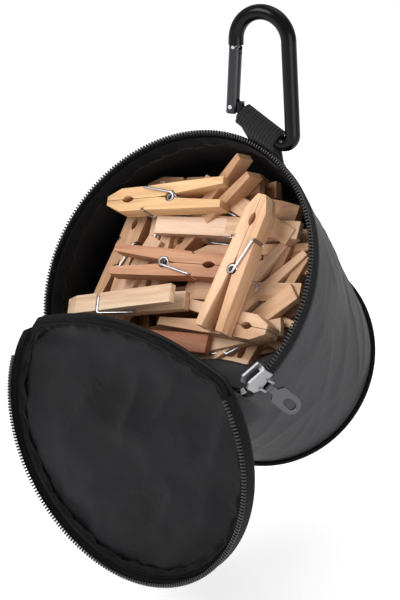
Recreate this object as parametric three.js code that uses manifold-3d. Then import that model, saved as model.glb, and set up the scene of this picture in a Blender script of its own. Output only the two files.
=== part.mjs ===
// A nylon drum bag for clothes pegs, with a zipped lid, that hangs by a webbing loop from a carabiner.
// Millimetres, +Z up. The origin is the inside of the carabiner's crown, where it rests on a hook.
// The bag is open: its mouth faces the front (-Y) and a little up, and its lid hangs down below the mouth.
import * as THREE from "three";
import { mergeVertices } from "three/addons/utils/BufferGeometryUtils.js";
import Module from "manifold-3d";

const wasm = await Module();
wasm.setup();

// Clearances
const SEAT_GAP = 0.3; // between pieces that touch
const RUN_GAP = 0.4; // around pieces that turn or slide

// Carabiner: a bent rod with a gate, seen along its own flat side
const ROD = 8; // rod diameter
const CROWN_RADIUS = 15; // bend of the crown, to the rod's middle
const SPINE_FOOT = [19, -67]; // where the spine's line meets the bar's line
const BAR_SLOPE = 30; // degrees that the bottom bar falls towards the spine
const BAR_LENGTH = 41; // bottom bar, from the spine's line to the gate's pivot
const CORNER_BEND = 5; // bend between the spine and the bar, to the rod's middle
const CARABINER_YAW = 10; // degrees that the flat side is turned from the front
const GATE_DIAMETER = 7;
const GATE_BORE = 4; // blind bore for the spring and plunger
const GATE_BORE_DEPTH = 20;
const TANG = 3; // thickness of the frame's flat ends, which the gate's slots go round
const TANG_WIDTH = 6;
const RIVET = 2.4; // gate pivot rivet diameter
const LATCH_PIN = 2; // cross pin at the gate's top
const PLUNGER_LENGTH = 5;
const GATE_WIRE = 0.6; // gate spring wire diameter
const GATE_SPRING_TURNS = 6;

// Bag: a soft drum with a straight hinge across the low side of its mouth
const MOUTH_TILT = 55; // degrees that the mouth is turned up from level, about X
const RIM_TOP = [-1, 0.8, -67.1]; // the zip beside the webbing loop, below the carabiner's bar
const MOUTH_RADIUS = 82; // to the middle of the zip tape
const HINGE_OFFSET = 47; // from the mouth's middle to the hinge line
const MOUTH_CORNER = 6; // bend where the round mouth meets the hinge line
const WALL = 1.5; // sewn wall thickness
const BASE_RADIUS = 66; // outside of the wall at the base
const BASE_CENTRE = [-32, -6, -167]; // from the mouth's middle, in the bag's own axes
const BASE_TILT = 11; // degrees between the base and the mouth's plane
const SHOULDER = 45; // depth over which the straight hinge side becomes round
const BASE_PANEL = 1.5; // base panel thickness
const PIPING = 3; // base piping diameter
const PIPING_RISE = 3; // middle of the piping above the base

// Zip
const TAPE_WIDTH = 6; // tape that shows beside the teeth
const TAPE = 1; // tape thickness
const TEETH_HEIGHT = 1.6;
const TEETH_THICKNESS = 2.6;
const LID_TEETH_END = 200; // degrees round the mouth where the lid's teeth stop, short of the slider
const SLIDER_START = -27; // degrees round the mouth where the slider is parked
const SLIDER_LENGTH = 13;
const SLIDER_HEIGHT = 12;
const SLIDER_PLATE = 1.2;
const STOP_LENGTH = 3; // metal stops at both ends of the teeth
const BAIL = 1.4; // diameter of the slider's bar, which the tab turns on
const BAIL_LENGTH = 7; // over both ears
const BAIL_DROP = 3; // middle of the bar below the slider's plate
const EAR = 1.2; // thickness of the ears that hold the bar
const PULL_WIDTH = 10;
const PULL_LENGTH = 21;
const PULL_KNUCKLE = 1; // wall of the tab's knuckle round the bar
const PULL_HANG = 33; // degrees that the tab hangs out from the wall
const PULL = 1.4; // pull tab thickness
const PULL_HOLE = 5; // long hole near the tab's end

// Lid
const LID_PANEL = 1.5;
const LID_OPEN = 215; // degrees from closed to hanging straight down
const LID_PIPING = 2;
const LID_PIPING_INSET = 4.5;
const GUSSET_RISE = 18; // soft fold that stands up above the hinge
const GUSSET_HALF = 60;

// Webbing loop
const WEBBING_WIDTH = 24;
const WEBBING = 1.8;
const LOOP_TAIL = 15; // sewn tail below the rim
const LOOP_ANGLE = 73; // degrees round the mouth where the tail is sewn

// Pegs
const PEG_LENGTH = 75;
const PEG_WIDTH = 10;
const PEG_TAIL_INSIDE = 4.6; // half the gap between the tails
const PEG_TAIL = 4.2; // arm thickness at the tail
const PEG_ARM = 6.8; // arm thickness at the coil
const PEG_COIL_AT = 42; // from the jaw tips to the coil's middle
const PEG_NOTCH_AT = 14; // from the jaw tips to the line notch
const PEG_NOTCH = 8; // notch length
const PEG_NOTCH_DEPTH = 1.8;
const PEG_GROOVE_AT = 24.5; // from the jaw tips to the groove for the spring's leg
const PEG_GROOVE = 2.6; // groove width
const PEG_GROOVE_DEPTH = 1.3;
const PEG_JAW_TIP = 2.6; // arm thickness at the jaw tip
const PEG_JAW_BEVEL = 9; // length of the jaw's sloping tip
const PEG_OPENS_AT = 34; // from the jaw tips to where the arms part
const SPRING_WIRE = 1.4;
const SPRING_RADIUS = 2.2; // coil, to the wire's middle
const SPRING_TURNS = 3; // whole turns between the legs
const SIDE_PEG_SHIFT = 4; // how far the peg beside the wall lies towards the top

const rad = THREE.MathUtils.degToRad;
const deg = THREE.MathUtils.radToDeg;

// Finishes
function finish(color, roughness, metalness) {
  return new THREE.MeshStandardMaterial({ color, roughness, metalness });
}
const NYLON = [0x3c3b3e, 0.7, 0];
const TAPE_BLACK = [0x19181b, 0.85, 0];
const TOOTH_BLACK = [0x232226, 0.4, 0];
const GLOSS_BLACK = [0x131214, 0.2, 0.4];
const STEEL = [0xb0b0b4, 0.35, 1];
const DARK_STEEL = [0x55555a, 0.4, 1];
const WOODS = [0xe8c9a0, 0xd9a56c, 0xe9c07a, 0xc98d57, 0xb87747];

// A closed mesh from points and triangles, turned so that its faces point out.
function closedMesh(points, faces) {
  let volume = 0;
  for (const [a, b, c] of faces) {
    volume += points[a].dot(new THREE.Vector3().crossVectors(points[b], points[c]));
  }
  const index = faces.flatMap(([a, b, c]) => (volume < 0 ? [a, c, b] : [a, b, c]));
  const geometry = new THREE.BufferGeometry();
  geometry.setAttribute("position", new THREE.Float32BufferAttribute(points.flatMap((p) => p.toArray()), 3));
  geometry.setIndex(index);
  geometry.computeVertexNormals();
  return geometry;
}

// A skin over like sections, each a closed loop of points. It joins up with itself, or has flat ends.
function skin(sections, joinsUp) {
  const count = sections[0].length;
  const points = sections.flat();
  const faces = [];
  const spans = joinsUp ? sections.length : sections.length - 1;
  for (let i = 0; i < spans; i += 1) {
    const here = i * count;
    const next = ((i + 1) % sections.length) * count;
    for (let j = 0; j < count; j += 1) {
      const k = (j + 1) % count;
      faces.push([here + j, here + k, next + k]);
      faces.push([here + j, next + k, next + j]);
    }
  }
  if (!joinsUp) {
    const last = points.length - count;
    for (let j = 1; j < count - 1; j += 1) {
      faces.push([0, j + 1, j]);
      faces.push([last, last + j, last + j + 1]);
    }
  }
  return closedMesh(points, faces);
}

// A round rod along a line of points.
function tube(line, radius, sides, joinsUp = false) {
  const count = line.length;
  const sections = [];
  let side = null;
  for (let i = 0; i < count; i += 1) {
    const before = joinsUp ? line[(i + count - 1) % count] : line[Math.max(i - 1, 0)];
    const after = joinsUp ? line[(i + 1) % count] : line[Math.min(i + 1, count - 1)];
    const along = after.clone().sub(before).normalize();
    if (!side) {
      const least = Math.abs(along.z) < 0.7 ? new THREE.Vector3(0, 0, 1) : new THREE.Vector3(1, 0, 0);
      side = new THREE.Vector3().crossVectors(along, least);
    }
    side.addScaledVector(along, -side.dot(along)).normalize();
    const up = new THREE.Vector3().crossVectors(along, side);
    const ring = [];
    for (let j = 0; j < sides; j += 1) {
      const turn = (2 * Math.PI * j) / sides;
      const point = line[i].clone();
      point.addScaledVector(side, radius * Math.cos(turn));
      point.addScaledVector(up, radius * Math.sin(turn));
      ring.push(point);
    }
    sections.push(ring);
  }
  return skin(sections, joinsUp);
}

// Points along a bent line: each inner corner is rounded to its radius.
function bentLine(corners, radii, steps) {
  const line = [corners[0].clone()];
  for (let i = 1; i < corners.length - 1; i += 1) {
    const toBefore = corners[i - 1].clone().sub(corners[i]).normalize();
    const toAfter = corners[i + 1].clone().sub(corners[i]).normalize();
    const half = toBefore.angleTo(toAfter) / 2;
    const radius = radii[i - 1];
    const middle = toBefore.clone().add(toAfter).normalize();
    const centre = corners[i].clone().addScaledVector(middle, radius / Math.sin(half));
    const sweep = Math.PI / 2 - half;
    const across = toAfter.clone().sub(toBefore).normalize();
    for (let k = 0; k <= steps; k += 1) {
      const turn = -sweep + (2 * sweep * k) / steps;
      const point = centre.clone();
      point.addScaledVector(middle, -radius * Math.cos(turn));
      point.addScaledVector(across, radius * Math.sin(turn));
      line.push(point);
    }
  }
  line.push(corners[corners.length - 1].clone());
  return line;
}

// A flat outline given a thickness from z = low to z = high.
function plate(outline, low, high, holes = []) {
  const shape = new THREE.Shape(outline);
  shape.holes = holes.map((hole) => new THREE.Path(hole));
  const geometry = new THREE.ExtrudeGeometry(shape, { depth: high - low, bevelEnabled: false });
  return geometry.translate(0, 0, low);
}

function block(x, y, z) {
  return new THREE.BoxGeometry(x[1] - x[0], y[1] - y[0], z[1] - z[0]).translate(
    (x[0] + x[1]) / 2,
    (y[0] + y[1]) / 2,
    (z[0] + z[1]) / 2,
  );
}

function arc(centreX, centreY, radius, from, to, steps) {
  const points = [];
  for (let i = 0; i <= steps; i += 1) {
    const turn = rad(from + ((to - from) * i) / steps);
    points.push(new THREE.Vector2(centreX + radius * Math.cos(turn), centreY + radius * Math.sin(turn)));
  }
  return points;
}

// Joining and cutting closed meshes
function solidOf(geometry) {
  const bare = new THREE.BufferGeometry();
  bare.setAttribute("position", geometry.getAttribute("position").clone());
  if (geometry.index) {
    bare.setIndex(geometry.index.clone());
  }
  const merged = mergeVertices(bare, 1e-4);
  return new wasm.Manifold(
    new wasm.Mesh({
      numProp: 3,
      vertProperties: new Float32Array(merged.getAttribute("position").array),
      triVerts: new Uint32Array(merged.index.array),
    }),
  );
}

function geometryOf(solid) {
  const mesh = solid.getMesh();
  const geometry = new THREE.BufferGeometry();
  geometry.setAttribute("position", new THREE.Float32BufferAttribute(mesh.vertProperties, 3));
  geometry.setIndex(Array.from(mesh.triVerts));
  geometry.computeVertexNormals();
  return geometry;
}

function cut(geometry, ...tools) {
  let solid = solidOf(geometry);
  for (const tool of tools) {
    solid = solid.subtract(solidOf(tool));
  }
  return geometryOf(solid);
}

function join(...geometries) {
  const solids = geometries.map(solidOf);
  return geometryOf(solids.reduce((whole, solid) => whole.add(solid)));
}

function piece(group, name, geometry, look) {
  const mesh = new THREE.Mesh(geometry, finish(...look));
  mesh.name = name;
  group.add(mesh);
  return mesh;
}

// The least gap of a wire to itself, measured between points that lie further apart along it.
function leastSelfGap(line, diameter) {
  const run = [0];
  for (let i = 1; i < line.length; i += 1) {
    run.push(run[i - 1] + line[i].distanceTo(line[i - 1]));
  }
  let least = Infinity;
  for (let i = 0; i < line.length; i += 1) {
    for (let j = i + 1; j < line.length; j += 1) {
      if (run[j] - run[i] > 4 * diameter) {
        least = Math.min(least, line[i].distanceTo(line[j]) - diameter);
      }
    }
  }
  return least;
}

const pegBag = new THREE.Group();

// Carabiner frame: crown, spine, corner and bar are one bent rod, flattened to a tang at both ends.
// Its own axes: x across, y through its flat side, z up.
const carabiner = new THREE.Group();
carabiner.rotation.z = rad(CARABINER_YAW);
pegBag.add(carabiner);
const flat = (x, z) => new THREE.Vector3(x, 0, z);
const barWay = [Math.cos(rad(BAR_SLOPE)), -Math.sin(rad(BAR_SLOPE))];
const pivot = flat(SPINE_FOOT[0] - barWay[0] * BAR_LENGTH, SPINE_FOOT[1] - barWay[1] * BAR_LENGTH);
const crownHeight = ROD / 2 - CROWN_RADIUS;
const nose = flat(-CROWN_RADIUS, crownHeight - 1);
const gateWay = nose.clone().sub(pivot).normalize();
const gateAngle = Math.atan2(gateWay.x, gateWay.z);
const crown = arc(0, crownHeight, CROWN_RADIUS, 180, 0, 12).map((p) => flat(p.x, p.y));
const foot = flat(SPINE_FOOT[0], SPINE_FOOT[1]);
const barEnd = pivot.clone().add(flat(barWay[0] * TANG_WIDTH * 0.9, barWay[1] * TANG_WIDTH * 0.9));
const lower = bentLine([crown[12], foot, barEnd], [CORNER_BEND], 6);
const frameRod = tube([...crown, ...lower.slice(1)], ROD / 2, 12);
// The flat ends lie in the gate's line: one at its pivot, one at the nose.
const alongGate = (geometry, at) => {
  const turned = geometry.clone().rotateY(gateAngle);
  return turned.translate(at.x, at.y, at.z);
};
const tangHalf = TANG / 2;
const halfWidth = TANG_WIDTH / 2;
const pivotTang = alongGate(block([-halfWidth, TANG_WIDTH], [-tangHalf, tangHalf], [-halfWidth, halfWidth]), pivot);
const noseTang = alongGate(block([-halfWidth, halfWidth], [-tangHalf, tangHalf], [-TANG_WIDTH, 2]), nose);
const crossRod = (diameter, length) => new THREE.CylinderGeometry(diameter / 2, diameter / 2, length, 16);
const rivetHole = crossRod(RIVET + 2 * SEAT_GAP, ROD).translate(pivot.x, 0, pivot.z);
const latch = nose.clone().addScaledVector(gateWay, -TANG_WIDTH / 2);
const latchSlot = alongGate(
  block([-LATCH_PIN / 2 - RUN_GAP, TANG_WIDTH], [-ROD, ROD], [-LATCH_PIN / 2 - RUN_GAP, LATCH_PIN / 2 + RUN_GAP]),
  latch,
);
piece(carabiner, "carabiner_frame", cut(join(frameRod, pivotTang, noseTang), rivetHole, latchSlot), GLOSS_BLACK);
piece(carabiner, "gate_rivet", crossRod(RIVET, GATE_DIAMETER).translate(pivot.x, 0, pivot.z), DARK_STEEL);

// Gate: a bored rod with a slot at both ends, its latch pin, and the spring and plunger that shut it.
const gateLength = nose.distanceTo(pivot);
const gateBottom = -GATE_DIAMETER / 2;
const gateTop = gateLength - ROD / 2 + 1;
const slotHalf = tangHalf + RUN_GAP;
const slotTop = halfWidth + RUN_GAP + 1;
const gateRod = new THREE.CylinderGeometry(GATE_DIAMETER / 2, GATE_DIAMETER / 2, gateTop - gateBottom, 20)
  .rotateX(Math.PI / 2)
  .translate(0, 0, (gateTop + gateBottom) / 2);
const lowSlot = block([-ROD, ROD], [-slotHalf, slotHalf], [gateBottom - 1, slotTop]);
const highSlot = block([-ROD, ROD], [-slotHalf, slotHalf], [gateLength - TANG_WIDTH - RUN_GAP, gateTop + 1]);
const gateBore = new THREE.CylinderGeometry(GATE_BORE / 2, GATE_BORE / 2, GATE_BORE_DEPTH, 16)
  .rotateX(Math.PI / 2)
  .translate(0, 0, slotTop - 0.5 + GATE_BORE_DEPTH / 2);
const rivetEye = crossRod(RIVET + 2 * SEAT_GAP, ROD);
const pinHole = crossRod(LATCH_PIN + 2 * SEAT_GAP, ROD).translate(0, 0, gateLength - TANG_WIDTH / 2);
const gate = new THREE.Group();
gate.position.copy(pivot);
gate.rotation.y = gateAngle;
carabiner.add(gate);
piece(gate, "carabiner_gate", cut(gateRod, lowSlot, highSlot, gateBore, rivetEye, pinHole), DARK_STEEL);
piece(gate, "gate_pin", crossRod(LATCH_PIN, GATE_DIAMETER).translate(0, 0, gateLength - TANG_WIDTH / 2), STEEL);
const plungerFoot = slotTop - 0.5 + SEAT_GAP;
const plunger = new THREE.CylinderGeometry(GATE_BORE / 2 - RUN_GAP, GATE_BORE / 2 - RUN_GAP, PLUNGER_LENGTH, 12)
  .rotateX(Math.PI / 2)
  .translate(0, 0, plungerFoot + PLUNGER_LENGTH / 2);
piece(gate, "gate_plunger", plunger, STEEL);
const springFoot = plungerFoot + PLUNGER_LENGTH + SEAT_GAP + GATE_WIRE / 2;
const springTop = slotTop - 0.5 + GATE_BORE_DEPTH - SEAT_GAP - GATE_WIRE / 2;
const gateCoil = [];
for (let i = 0; i <= GATE_SPRING_TURNS * 8; i += 1) {
  const turn = (2 * Math.PI * i) / 8;
  const reach = GATE_BORE / 2 - SEAT_GAP - GATE_WIRE / 2;
  const rise = springFoot + ((springTop - springFoot) * i) / (GATE_SPRING_TURNS * 8);
  gateCoil.push(new THREE.Vector3(reach * Math.cos(turn), reach * Math.sin(turn), rise));
}
console.log("gate spring, least gap to itself:", leastSelfGap(gateCoil, GATE_WIRE).toFixed(2), "mm");
piece(gate, "gate_spring", tube(gateCoil, GATE_WIRE / 2, 5), STEEL);

// Bag. Its own axes: x along the hinge, y up the slope of the mouth, z out of the mouth; z = 0 between the teeth.
const bag = new THREE.Group();
bag.rotation.x = rad(MOUTH_TILT);
const rimTop = new THREE.Vector3(MOUTH_RADIUS, 0, 0).applyAxisAngle(new THREE.Vector3(0, 0, 1), rad(LOOP_ANGLE));
bag.position.set(...RIM_TOP).sub(rimTop.applyEuler(bag.rotation));
pegBag.add(bag);

// The mouth is a circle cut straight at the hinge, with bent corners. A place round it is given in degrees.
const cornerX = Math.sqrt((MOUTH_RADIUS - MOUTH_CORNER) ** 2 - (HINGE_OFFSET - MOUTH_CORNER) ** 2);
const cornerY = MOUTH_CORNER - HINGE_OFFSET;
const ZIP_START = deg(Math.atan2(cornerY, cornerX));
const ZIP_END = 180 - ZIP_START;
function mouthPoint(place, out) {
  if (place < ZIP_START) {
    return arc(cornerX, cornerY, MOUTH_CORNER + out, place, place, 1)[0];
  }
  if (place > ZIP_END) {
    return arc(-cornerX, cornerY, MOUTH_CORNER + out, place, place, 1)[0];
  }
  return arc(0, 0, MOUTH_RADIUS + out, place, place, 1)[0];
}
function mouthOutline(out, arcSteps = 48) {
  const round = arc(0, 0, MOUTH_RADIUS + out, ZIP_START, ZIP_END, arcSteps);
  const left = arc(-cornerX, cornerY, MOUTH_CORNER + out, ZIP_END, 270, 4).slice(1);
  const right = arc(cornerX, cornerY, MOUTH_CORNER + out, -90, ZIP_START, 4).slice(0, -1);
  const straight = [];
  for (let i = 1; i < 10; i += 1) {
    straight.push(new THREE.Vector2(-cornerX + (2 * cornerX * i) / 10, -HINGE_OFFSET - out));
  }
  return [...round, ...left, ...straight, ...right];
}
// A strip that follows the mouth from one place to another, with a four-sided section.
function mouthStrip(from, to, inner, outer, low, high) {
  const steps = Math.round((to - from) / 5);
  const sections = [];
  for (let i = 0; i <= steps; i += 1) {
    const place = from + ((to - from) * i) / steps;
    const a = mouthPoint(place, inner);
    const b = mouthPoint(place, outer);
    sections.push([
      new THREE.Vector3(a.x, a.y, low),
      new THREE.Vector3(b.x, b.y, low),
      new THREE.Vector3(b.x, b.y, high),
      new THREE.Vector3(a.x, a.y, high),
    ]);
  }
  return skin(sections, false);
}

const teethFoot = SEAT_GAP / 2 + TEETH_HEIGHT; // from the zip's plane to where the teeth meet the tape
const tapeFoot = teethFoot + SEAT_GAP + TAPE_WIDTH;
const rimHeight = -tapeFoot - SEAT_GAP;
const baseCentre = new THREE.Vector3(...BASE_CENTRE);
const baseTurn = new THREE.Matrix4().makeRotationY(rad(BASE_TILT));
const smooth = (t) => t * t * (3 - 2 * t);

// A ring of the wall at a share of its depth: straight at the hinge near the mouth, round below the shoulder.
function wallRing(share, out, arcSteps) {
  const centre = new THREE.Vector3(0, 0, rimHeight).lerp(baseCentre, share);
  const turn = new THREE.Matrix4().makeRotationY(rad(BASE_TILT) * share);
  const depth = centre.length();
  const roundness = smooth(Math.min(1, Math.max(0, depth + rimHeight) / SHOULDER));
  const radius = MOUTH_RADIUS + WALL / 2 + (BASE_RADIUS - MOUTH_RADIUS - WALL / 2) * share + out;
  return mouthOutline(WALL / 2 + out, arcSteps).map((p) => {
    const round = p.clone().setLength(radius);
    const near = p.clone().multiplyScalar(radius / (MOUTH_RADIUS + WALL / 2 + out));
    const mixed = near.lerp(round, roundness);
    return new THREE.Vector3(mixed.x, mixed.y, 0).applyMatrix4(turn).add(centre);
  });
}
const WALL_SHARES = [0, 0.09, 0.18, 0.28, 0.45, 0.72, 1];
const outerRings = WALL_SHARES.map((share) => wallRing(share, 0));
const innerRings = WALL_SHARES.map((share) => wallRing(share, -WALL));
const wallSections = outerRings[0].map((_, i) => [
  ...outerRings.map((ring) => ring[i]),
  ...innerRings.map((ring) => ring[i]).reverse(),
]);
const wallGeometry = skin(wallSections, true);
piece(bag, "bag_wall", wallGeometry, NYLON);

// Base panel: a stiffened disc inside the wall's lower edge. Piping covers the seam round it.
const panelRadius = BASE_RADIUS - WALL - SEAT_GAP - 0.3;
const basePanel = new THREE.CylinderGeometry(panelRadius, panelRadius, BASE_PANEL, 64)
  .rotateX(Math.PI / 2)
  .translate(0, 0, BASE_PANEL / 2)
  .applyMatrix4(baseTurn)
  .translate(...BASE_CENTRE);
piece(bag, "base_panel", basePanel, NYLON);
const pipingReach = BASE_RADIUS + SEAT_GAP + PIPING / 2 + PIPING_RISE * 0.1;
const pipingLine = arc(0, 0, pipingReach, 0, 360, 60).slice(0, -1).map((p) => {
  return new THREE.Vector3(p.x, p.y, PIPING_RISE).applyMatrix4(baseTurn).add(baseCentre);
});
piece(bag, "base_piping", tube(pipingLine, PIPING / 2, 6, true), TAPE_BLACK);

// Bag side of the zip: tape above the wall's rim, teeth on its free edge, a stop at both ends.
const tapeIn = -TAPE / 2;
const tapeOut = TAPE / 2;
const teethIn = -TEETH_THICKNESS / 2;
const teethOut = TEETH_THICKNESS / 2;
piece(
  bag,
  "bag_zip_tape",
  mouthStrip(ZIP_START - 25, ZIP_END + 25, tapeIn, tapeOut, -tapeFoot, -teethFoot - SEAT_GAP),
  TAPE_BLACK,
);
piece(
  bag,
  "bag_zip_teeth",
  mouthStrip(ZIP_START, ZIP_END, teethIn, teethOut, -teethFoot, -SEAT_GAP / 2),
  TOOTH_BLACK,
);
const stopTurn = deg(STOP_LENGTH / (MOUTH_CORNER + teethOut));
const stopGap = deg(SEAT_GAP / MOUTH_CORNER) * 1.5;
const stopLow = -teethFoot;
const stopHigh = -SEAT_GAP / 2;
const startStop = mouthStrip(ZIP_START - stopGap - stopTurn, ZIP_START - stopGap, teethIn, teethOut, stopLow, stopHigh);
const endStop = mouthStrip(ZIP_END + stopGap, ZIP_END + stopGap + stopTurn, teethIn, teethOut, stopLow, stopHigh);
piece(bag, "zip_start_stop", startStop, STEEL);
piece(bag, "zip_end_stop", endStop, STEEL);

// Hinge lip: the straight hem between the corners, which the lid folds on.
const hingeHeight = tapeFoot + SEAT_GAP + LID_PANEL / 2;
const lipTop = hingeHeight - LID_PANEL / 2 - WALL / 2 - SEAT_GAP;
const lipHalf = cornerX - SEAT_GAP;
const hingeLip = block(
  [-lipHalf, lipHalf],
  [-HINGE_OFFSET - WALL / 2, -HINGE_OFFSET + WALL / 2],
  [rimHeight + SEAT_GAP, lipTop],
);
piece(bag, "hinge_lip", hingeLip, NYLON);

// Lid, drawn shut over the mouth and then turned open about the hinge. Its axes start on the hinge line.
const lid = new THREE.Group();
lid.position.set(0, -HINGE_OFFSET, hingeHeight);
lid.rotation.x = rad(LID_OPEN);
bag.add(lid);
const onLid = (geometry) => geometry.translate(0, HINGE_OFFSET, -hingeHeight);
const hingeEdge = -HINGE_OFFSET + RUN_GAP;
const lidOutline = mouthOutline(TAPE / 2).map((p) => new THREE.Vector2(p.x, Math.max(p.y, hingeEdge)));
const straightened = lidOutline.filter((p, i) => p.y > hingeEdge || lidOutline[i - 1].y > hingeEdge
  || lidOutline[(i + 1) % lidOutline.length].y > hingeEdge);
piece(
  lid,
  "lid_panel",
  onLid(plate(straightened, hingeHeight - LID_PANEL / 2, hingeHeight + LID_PANEL / 2)),
  NYLON,
);
piece(
  lid,
  "lid_zip_tape",
  onLid(mouthStrip(ZIP_START, ZIP_END, tapeIn, tapeOut, teethFoot + SEAT_GAP, tapeFoot)),
  TAPE_BLACK,
);
piece(
  lid,
  "lid_zip_teeth",
  onLid(mouthStrip(ZIP_START, LID_TEETH_END, teethIn, teethOut, SEAT_GAP / 2, teethFoot)),
  TOOTH_BLACK,
);
const lidPipingHeight = hingeHeight - LID_PANEL / 2 - SEAT_GAP - LID_PIPING / 2;
const lidPipingLine = mouthOutline(-LID_PIPING_INSET).map((p) => new THREE.Vector3(p.x, p.y, lidPipingHeight));
piece(lid, "lid_piping", onLid(tube(lidPipingLine, LID_PIPING / 2, 6, true)), TAPE_BLACK);
// The gusset is the lid's slack cloth at the hinge, which stands up as a low arch while the lid is open.
const gussetRadius = (GUSSET_HALF ** 2 + GUSSET_RISE ** 2) / (2 * GUSSET_RISE);
const gussetHalfTurn = deg(Math.asin(GUSSET_HALF / gussetRadius));
const gussetOutline = arc(0, gussetRadius - GUSSET_RISE, gussetRadius, 270 - gussetHalfTurn, 270 + gussetHalfTurn, 20);
piece(lid, "hinge_gusset", plate(gussetOutline, -LID_PANEL / 2, LID_PANEL / 2), NYLON);

// Zip slider: two plates joined by a bridge, straddling the teeth. Its axes: x along the zip, y out, z up.
const slider = new THREE.Group();
const parked = mouthPoint(SLIDER_START, 0);
slider.position.set(parked.x, parked.y, 0);
slider.rotation.z = rad(SLIDER_START - 90);
bag.add(slider);
const plateIn = TEETH_THICKNESS / 2 + RUN_GAP * 1.5;
const plateOut = plateIn + SLIDER_PLATE;
const sliderHalf = SLIDER_LENGTH / 2;
const bow = MOUTH_RADIUS - Math.sqrt(MOUTH_RADIUS ** 2 - sliderHalf ** 2);
const shield = [
  new THREE.Vector2(-sliderHalf, -SLIDER_HEIGHT * 0.36),
  new THREE.Vector2(sliderHalf * 0.55, -SLIDER_HEIGHT * 0.5),
  new THREE.Vector2(sliderHalf, -SLIDER_HEIGHT * 0.3),
  new THREE.Vector2(sliderHalf, SLIDER_HEIGHT * 0.3),
  new THREE.Vector2(sliderHalf * 0.55, SLIDER_HEIGHT * 0.5),
  new THREE.Vector2(-sliderHalf, SLIDER_HEIGHT * 0.36),
];
const upright = (geometry) => geometry.rotateX(Math.PI / 2);
const outerPlate = upright(plate(shield, -plateOut, -plateIn));
const innerPlate = upright(plate(shield, plateIn + bow, plateOut + bow));
const bridge = block([-sliderHalf, -sliderHalf + 2.5], [-plateOut - bow, plateOut], [SEAT_GAP, teethFoot]);
// The tab's bar is held by two ears below the outer plate.
const barOut = plateOut + SEAT_GAP;
const barHeight = -SLIDER_HEIGHT / 2 - BAIL_DROP;
const barHalf = BAIL_LENGTH / 2;
const barEnds = [-barHalf + 0.2, barHalf - 0.2].map((x) => new THREE.Vector3(x, barOut, barHeight));
const pullBar = tube(barEnds, BAIL / 2, 12);
const ears = [-barHalf, barHalf - EAR].map((from) => {
  return block([from, from + EAR], [plateIn, barOut + BAIL / 2], [barHeight - BAIL / 2, -SLIDER_HEIGHT * 0.3]);
});
piece(slider, "zip_slider", join(outerPlate, innerPlate, bridge, ...ears, pullBar), STEEL);

// Pull tab: a flat tab with a knuckle that turns on the slider's bar. It hangs beside the wall.
const pullTab = new THREE.Group();
pullTab.position.set(0, barOut, barHeight);
pullTab.rotation.x = rad(PULL_HANG);
slider.add(pullTab);
const knuckleIn = BAIL / 2 + RUN_GAP;
const knuckleOut = knuckleIn + PULL_KNUCKLE;
const knuckleHalf = barHalf - EAR - RUN_GAP;
const knuckleHole = arc(0, 0, knuckleIn, 0, 360, 16).slice(0, -1);
const knuckleRound = arc(0, 0, knuckleOut, 0, 360, 16).slice(0, -1);
const knuckle = plate(knuckleRound, -knuckleHalf, knuckleHalf, [knuckleHole]).rotateY(Math.PI / 2);
const pullHalf = PULL_WIDTH / 2;
const tabOutline = [
  new THREE.Vector2(-knuckleHalf, -knuckleOut + PULL_KNUCKLE / 2),
  new THREE.Vector2(-knuckleHalf, -2 * knuckleOut),
  new THREE.Vector2(-pullHalf, -3 * knuckleOut),
  ...arc(0, -PULL_LENGTH + pullHalf, pullHalf, 180, 360, 10),
  new THREE.Vector2(pullHalf, -3 * knuckleOut),
  new THREE.Vector2(knuckleHalf, -2 * knuckleOut),
  new THREE.Vector2(knuckleHalf, -knuckleOut + PULL_KNUCKLE / 2),
];
const holeHalf = pullHalf / 2;
const tabHole = [
  ...arc(0, -PULL_LENGTH + pullHalf, holeHalf, 180, 360, 8),
  ...arc(0, -PULL_LENGTH + pullHalf + PULL_HOLE / 2, holeHalf, 0, 180, 8),
];
const tabPlate = upright(plate(tabOutline, -PULL / 2, PULL / 2));
const tabCut = upright(plate(tabHole, -PULL, PULL));
piece(pullTab, "pull_tab", join(cut(tabPlate, tabCut), knuckle), DARK_STEEL);

// Hanging loop: webbing folded round the carabiner's bar, both ends sewn to the wall below the zip.
pegBag.updateMatrixWorld(true);
const bendEnd = lower[lower.length - 2];
const barMiddle = barEnd.clone().lerp(bendEnd, 0.5).applyMatrix4(carabiner.matrixWorld);
const barAxis = foot.clone().sub(pivot).transformDirection(carabiner.matrixWorld);
const toBag = bag.matrixWorld.clone().invert();
const barAt = barMiddle.clone().applyMatrix4(toBag);
const barAlong = barAxis.clone().transformDirection(toBag);
const sewn = mouthPoint(LOOP_ANGLE, WALL / 2 + WEBBING);
const outward = new THREE.Vector3(sewn.x, sewn.y, 0).normalize();
const sewnAcross = new THREE.Vector3(outward.y, -outward.x, 0);
const tailWay = new THREE.Vector3(sewn.x, sewn.y, rimHeight).sub(barAt);
tailWay.addScaledVector(barAlong, -tailWay.dot(barAlong)).normalize();
const loopThrough = new THREE.Vector3().crossVectors(barAlong, tailWay);
const loopInside = ROD / 2 + RUN_GAP;
const ringOutline = arc(0, 0, loopInside + WEBBING, 0, 360, 24).slice(0, -1);
const ringHole = arc(0, 0, loopInside, 0, 360, 24).slice(0, -1);
const ring = plate(ringOutline, -WEBBING_WIDTH / 2, WEBBING_WIDTH / 2, [ringHole]);
ring.applyMatrix4(new THREE.Matrix4().makeBasis(tailWay, loopThrough, barAlong).setPosition(barAt));
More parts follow.
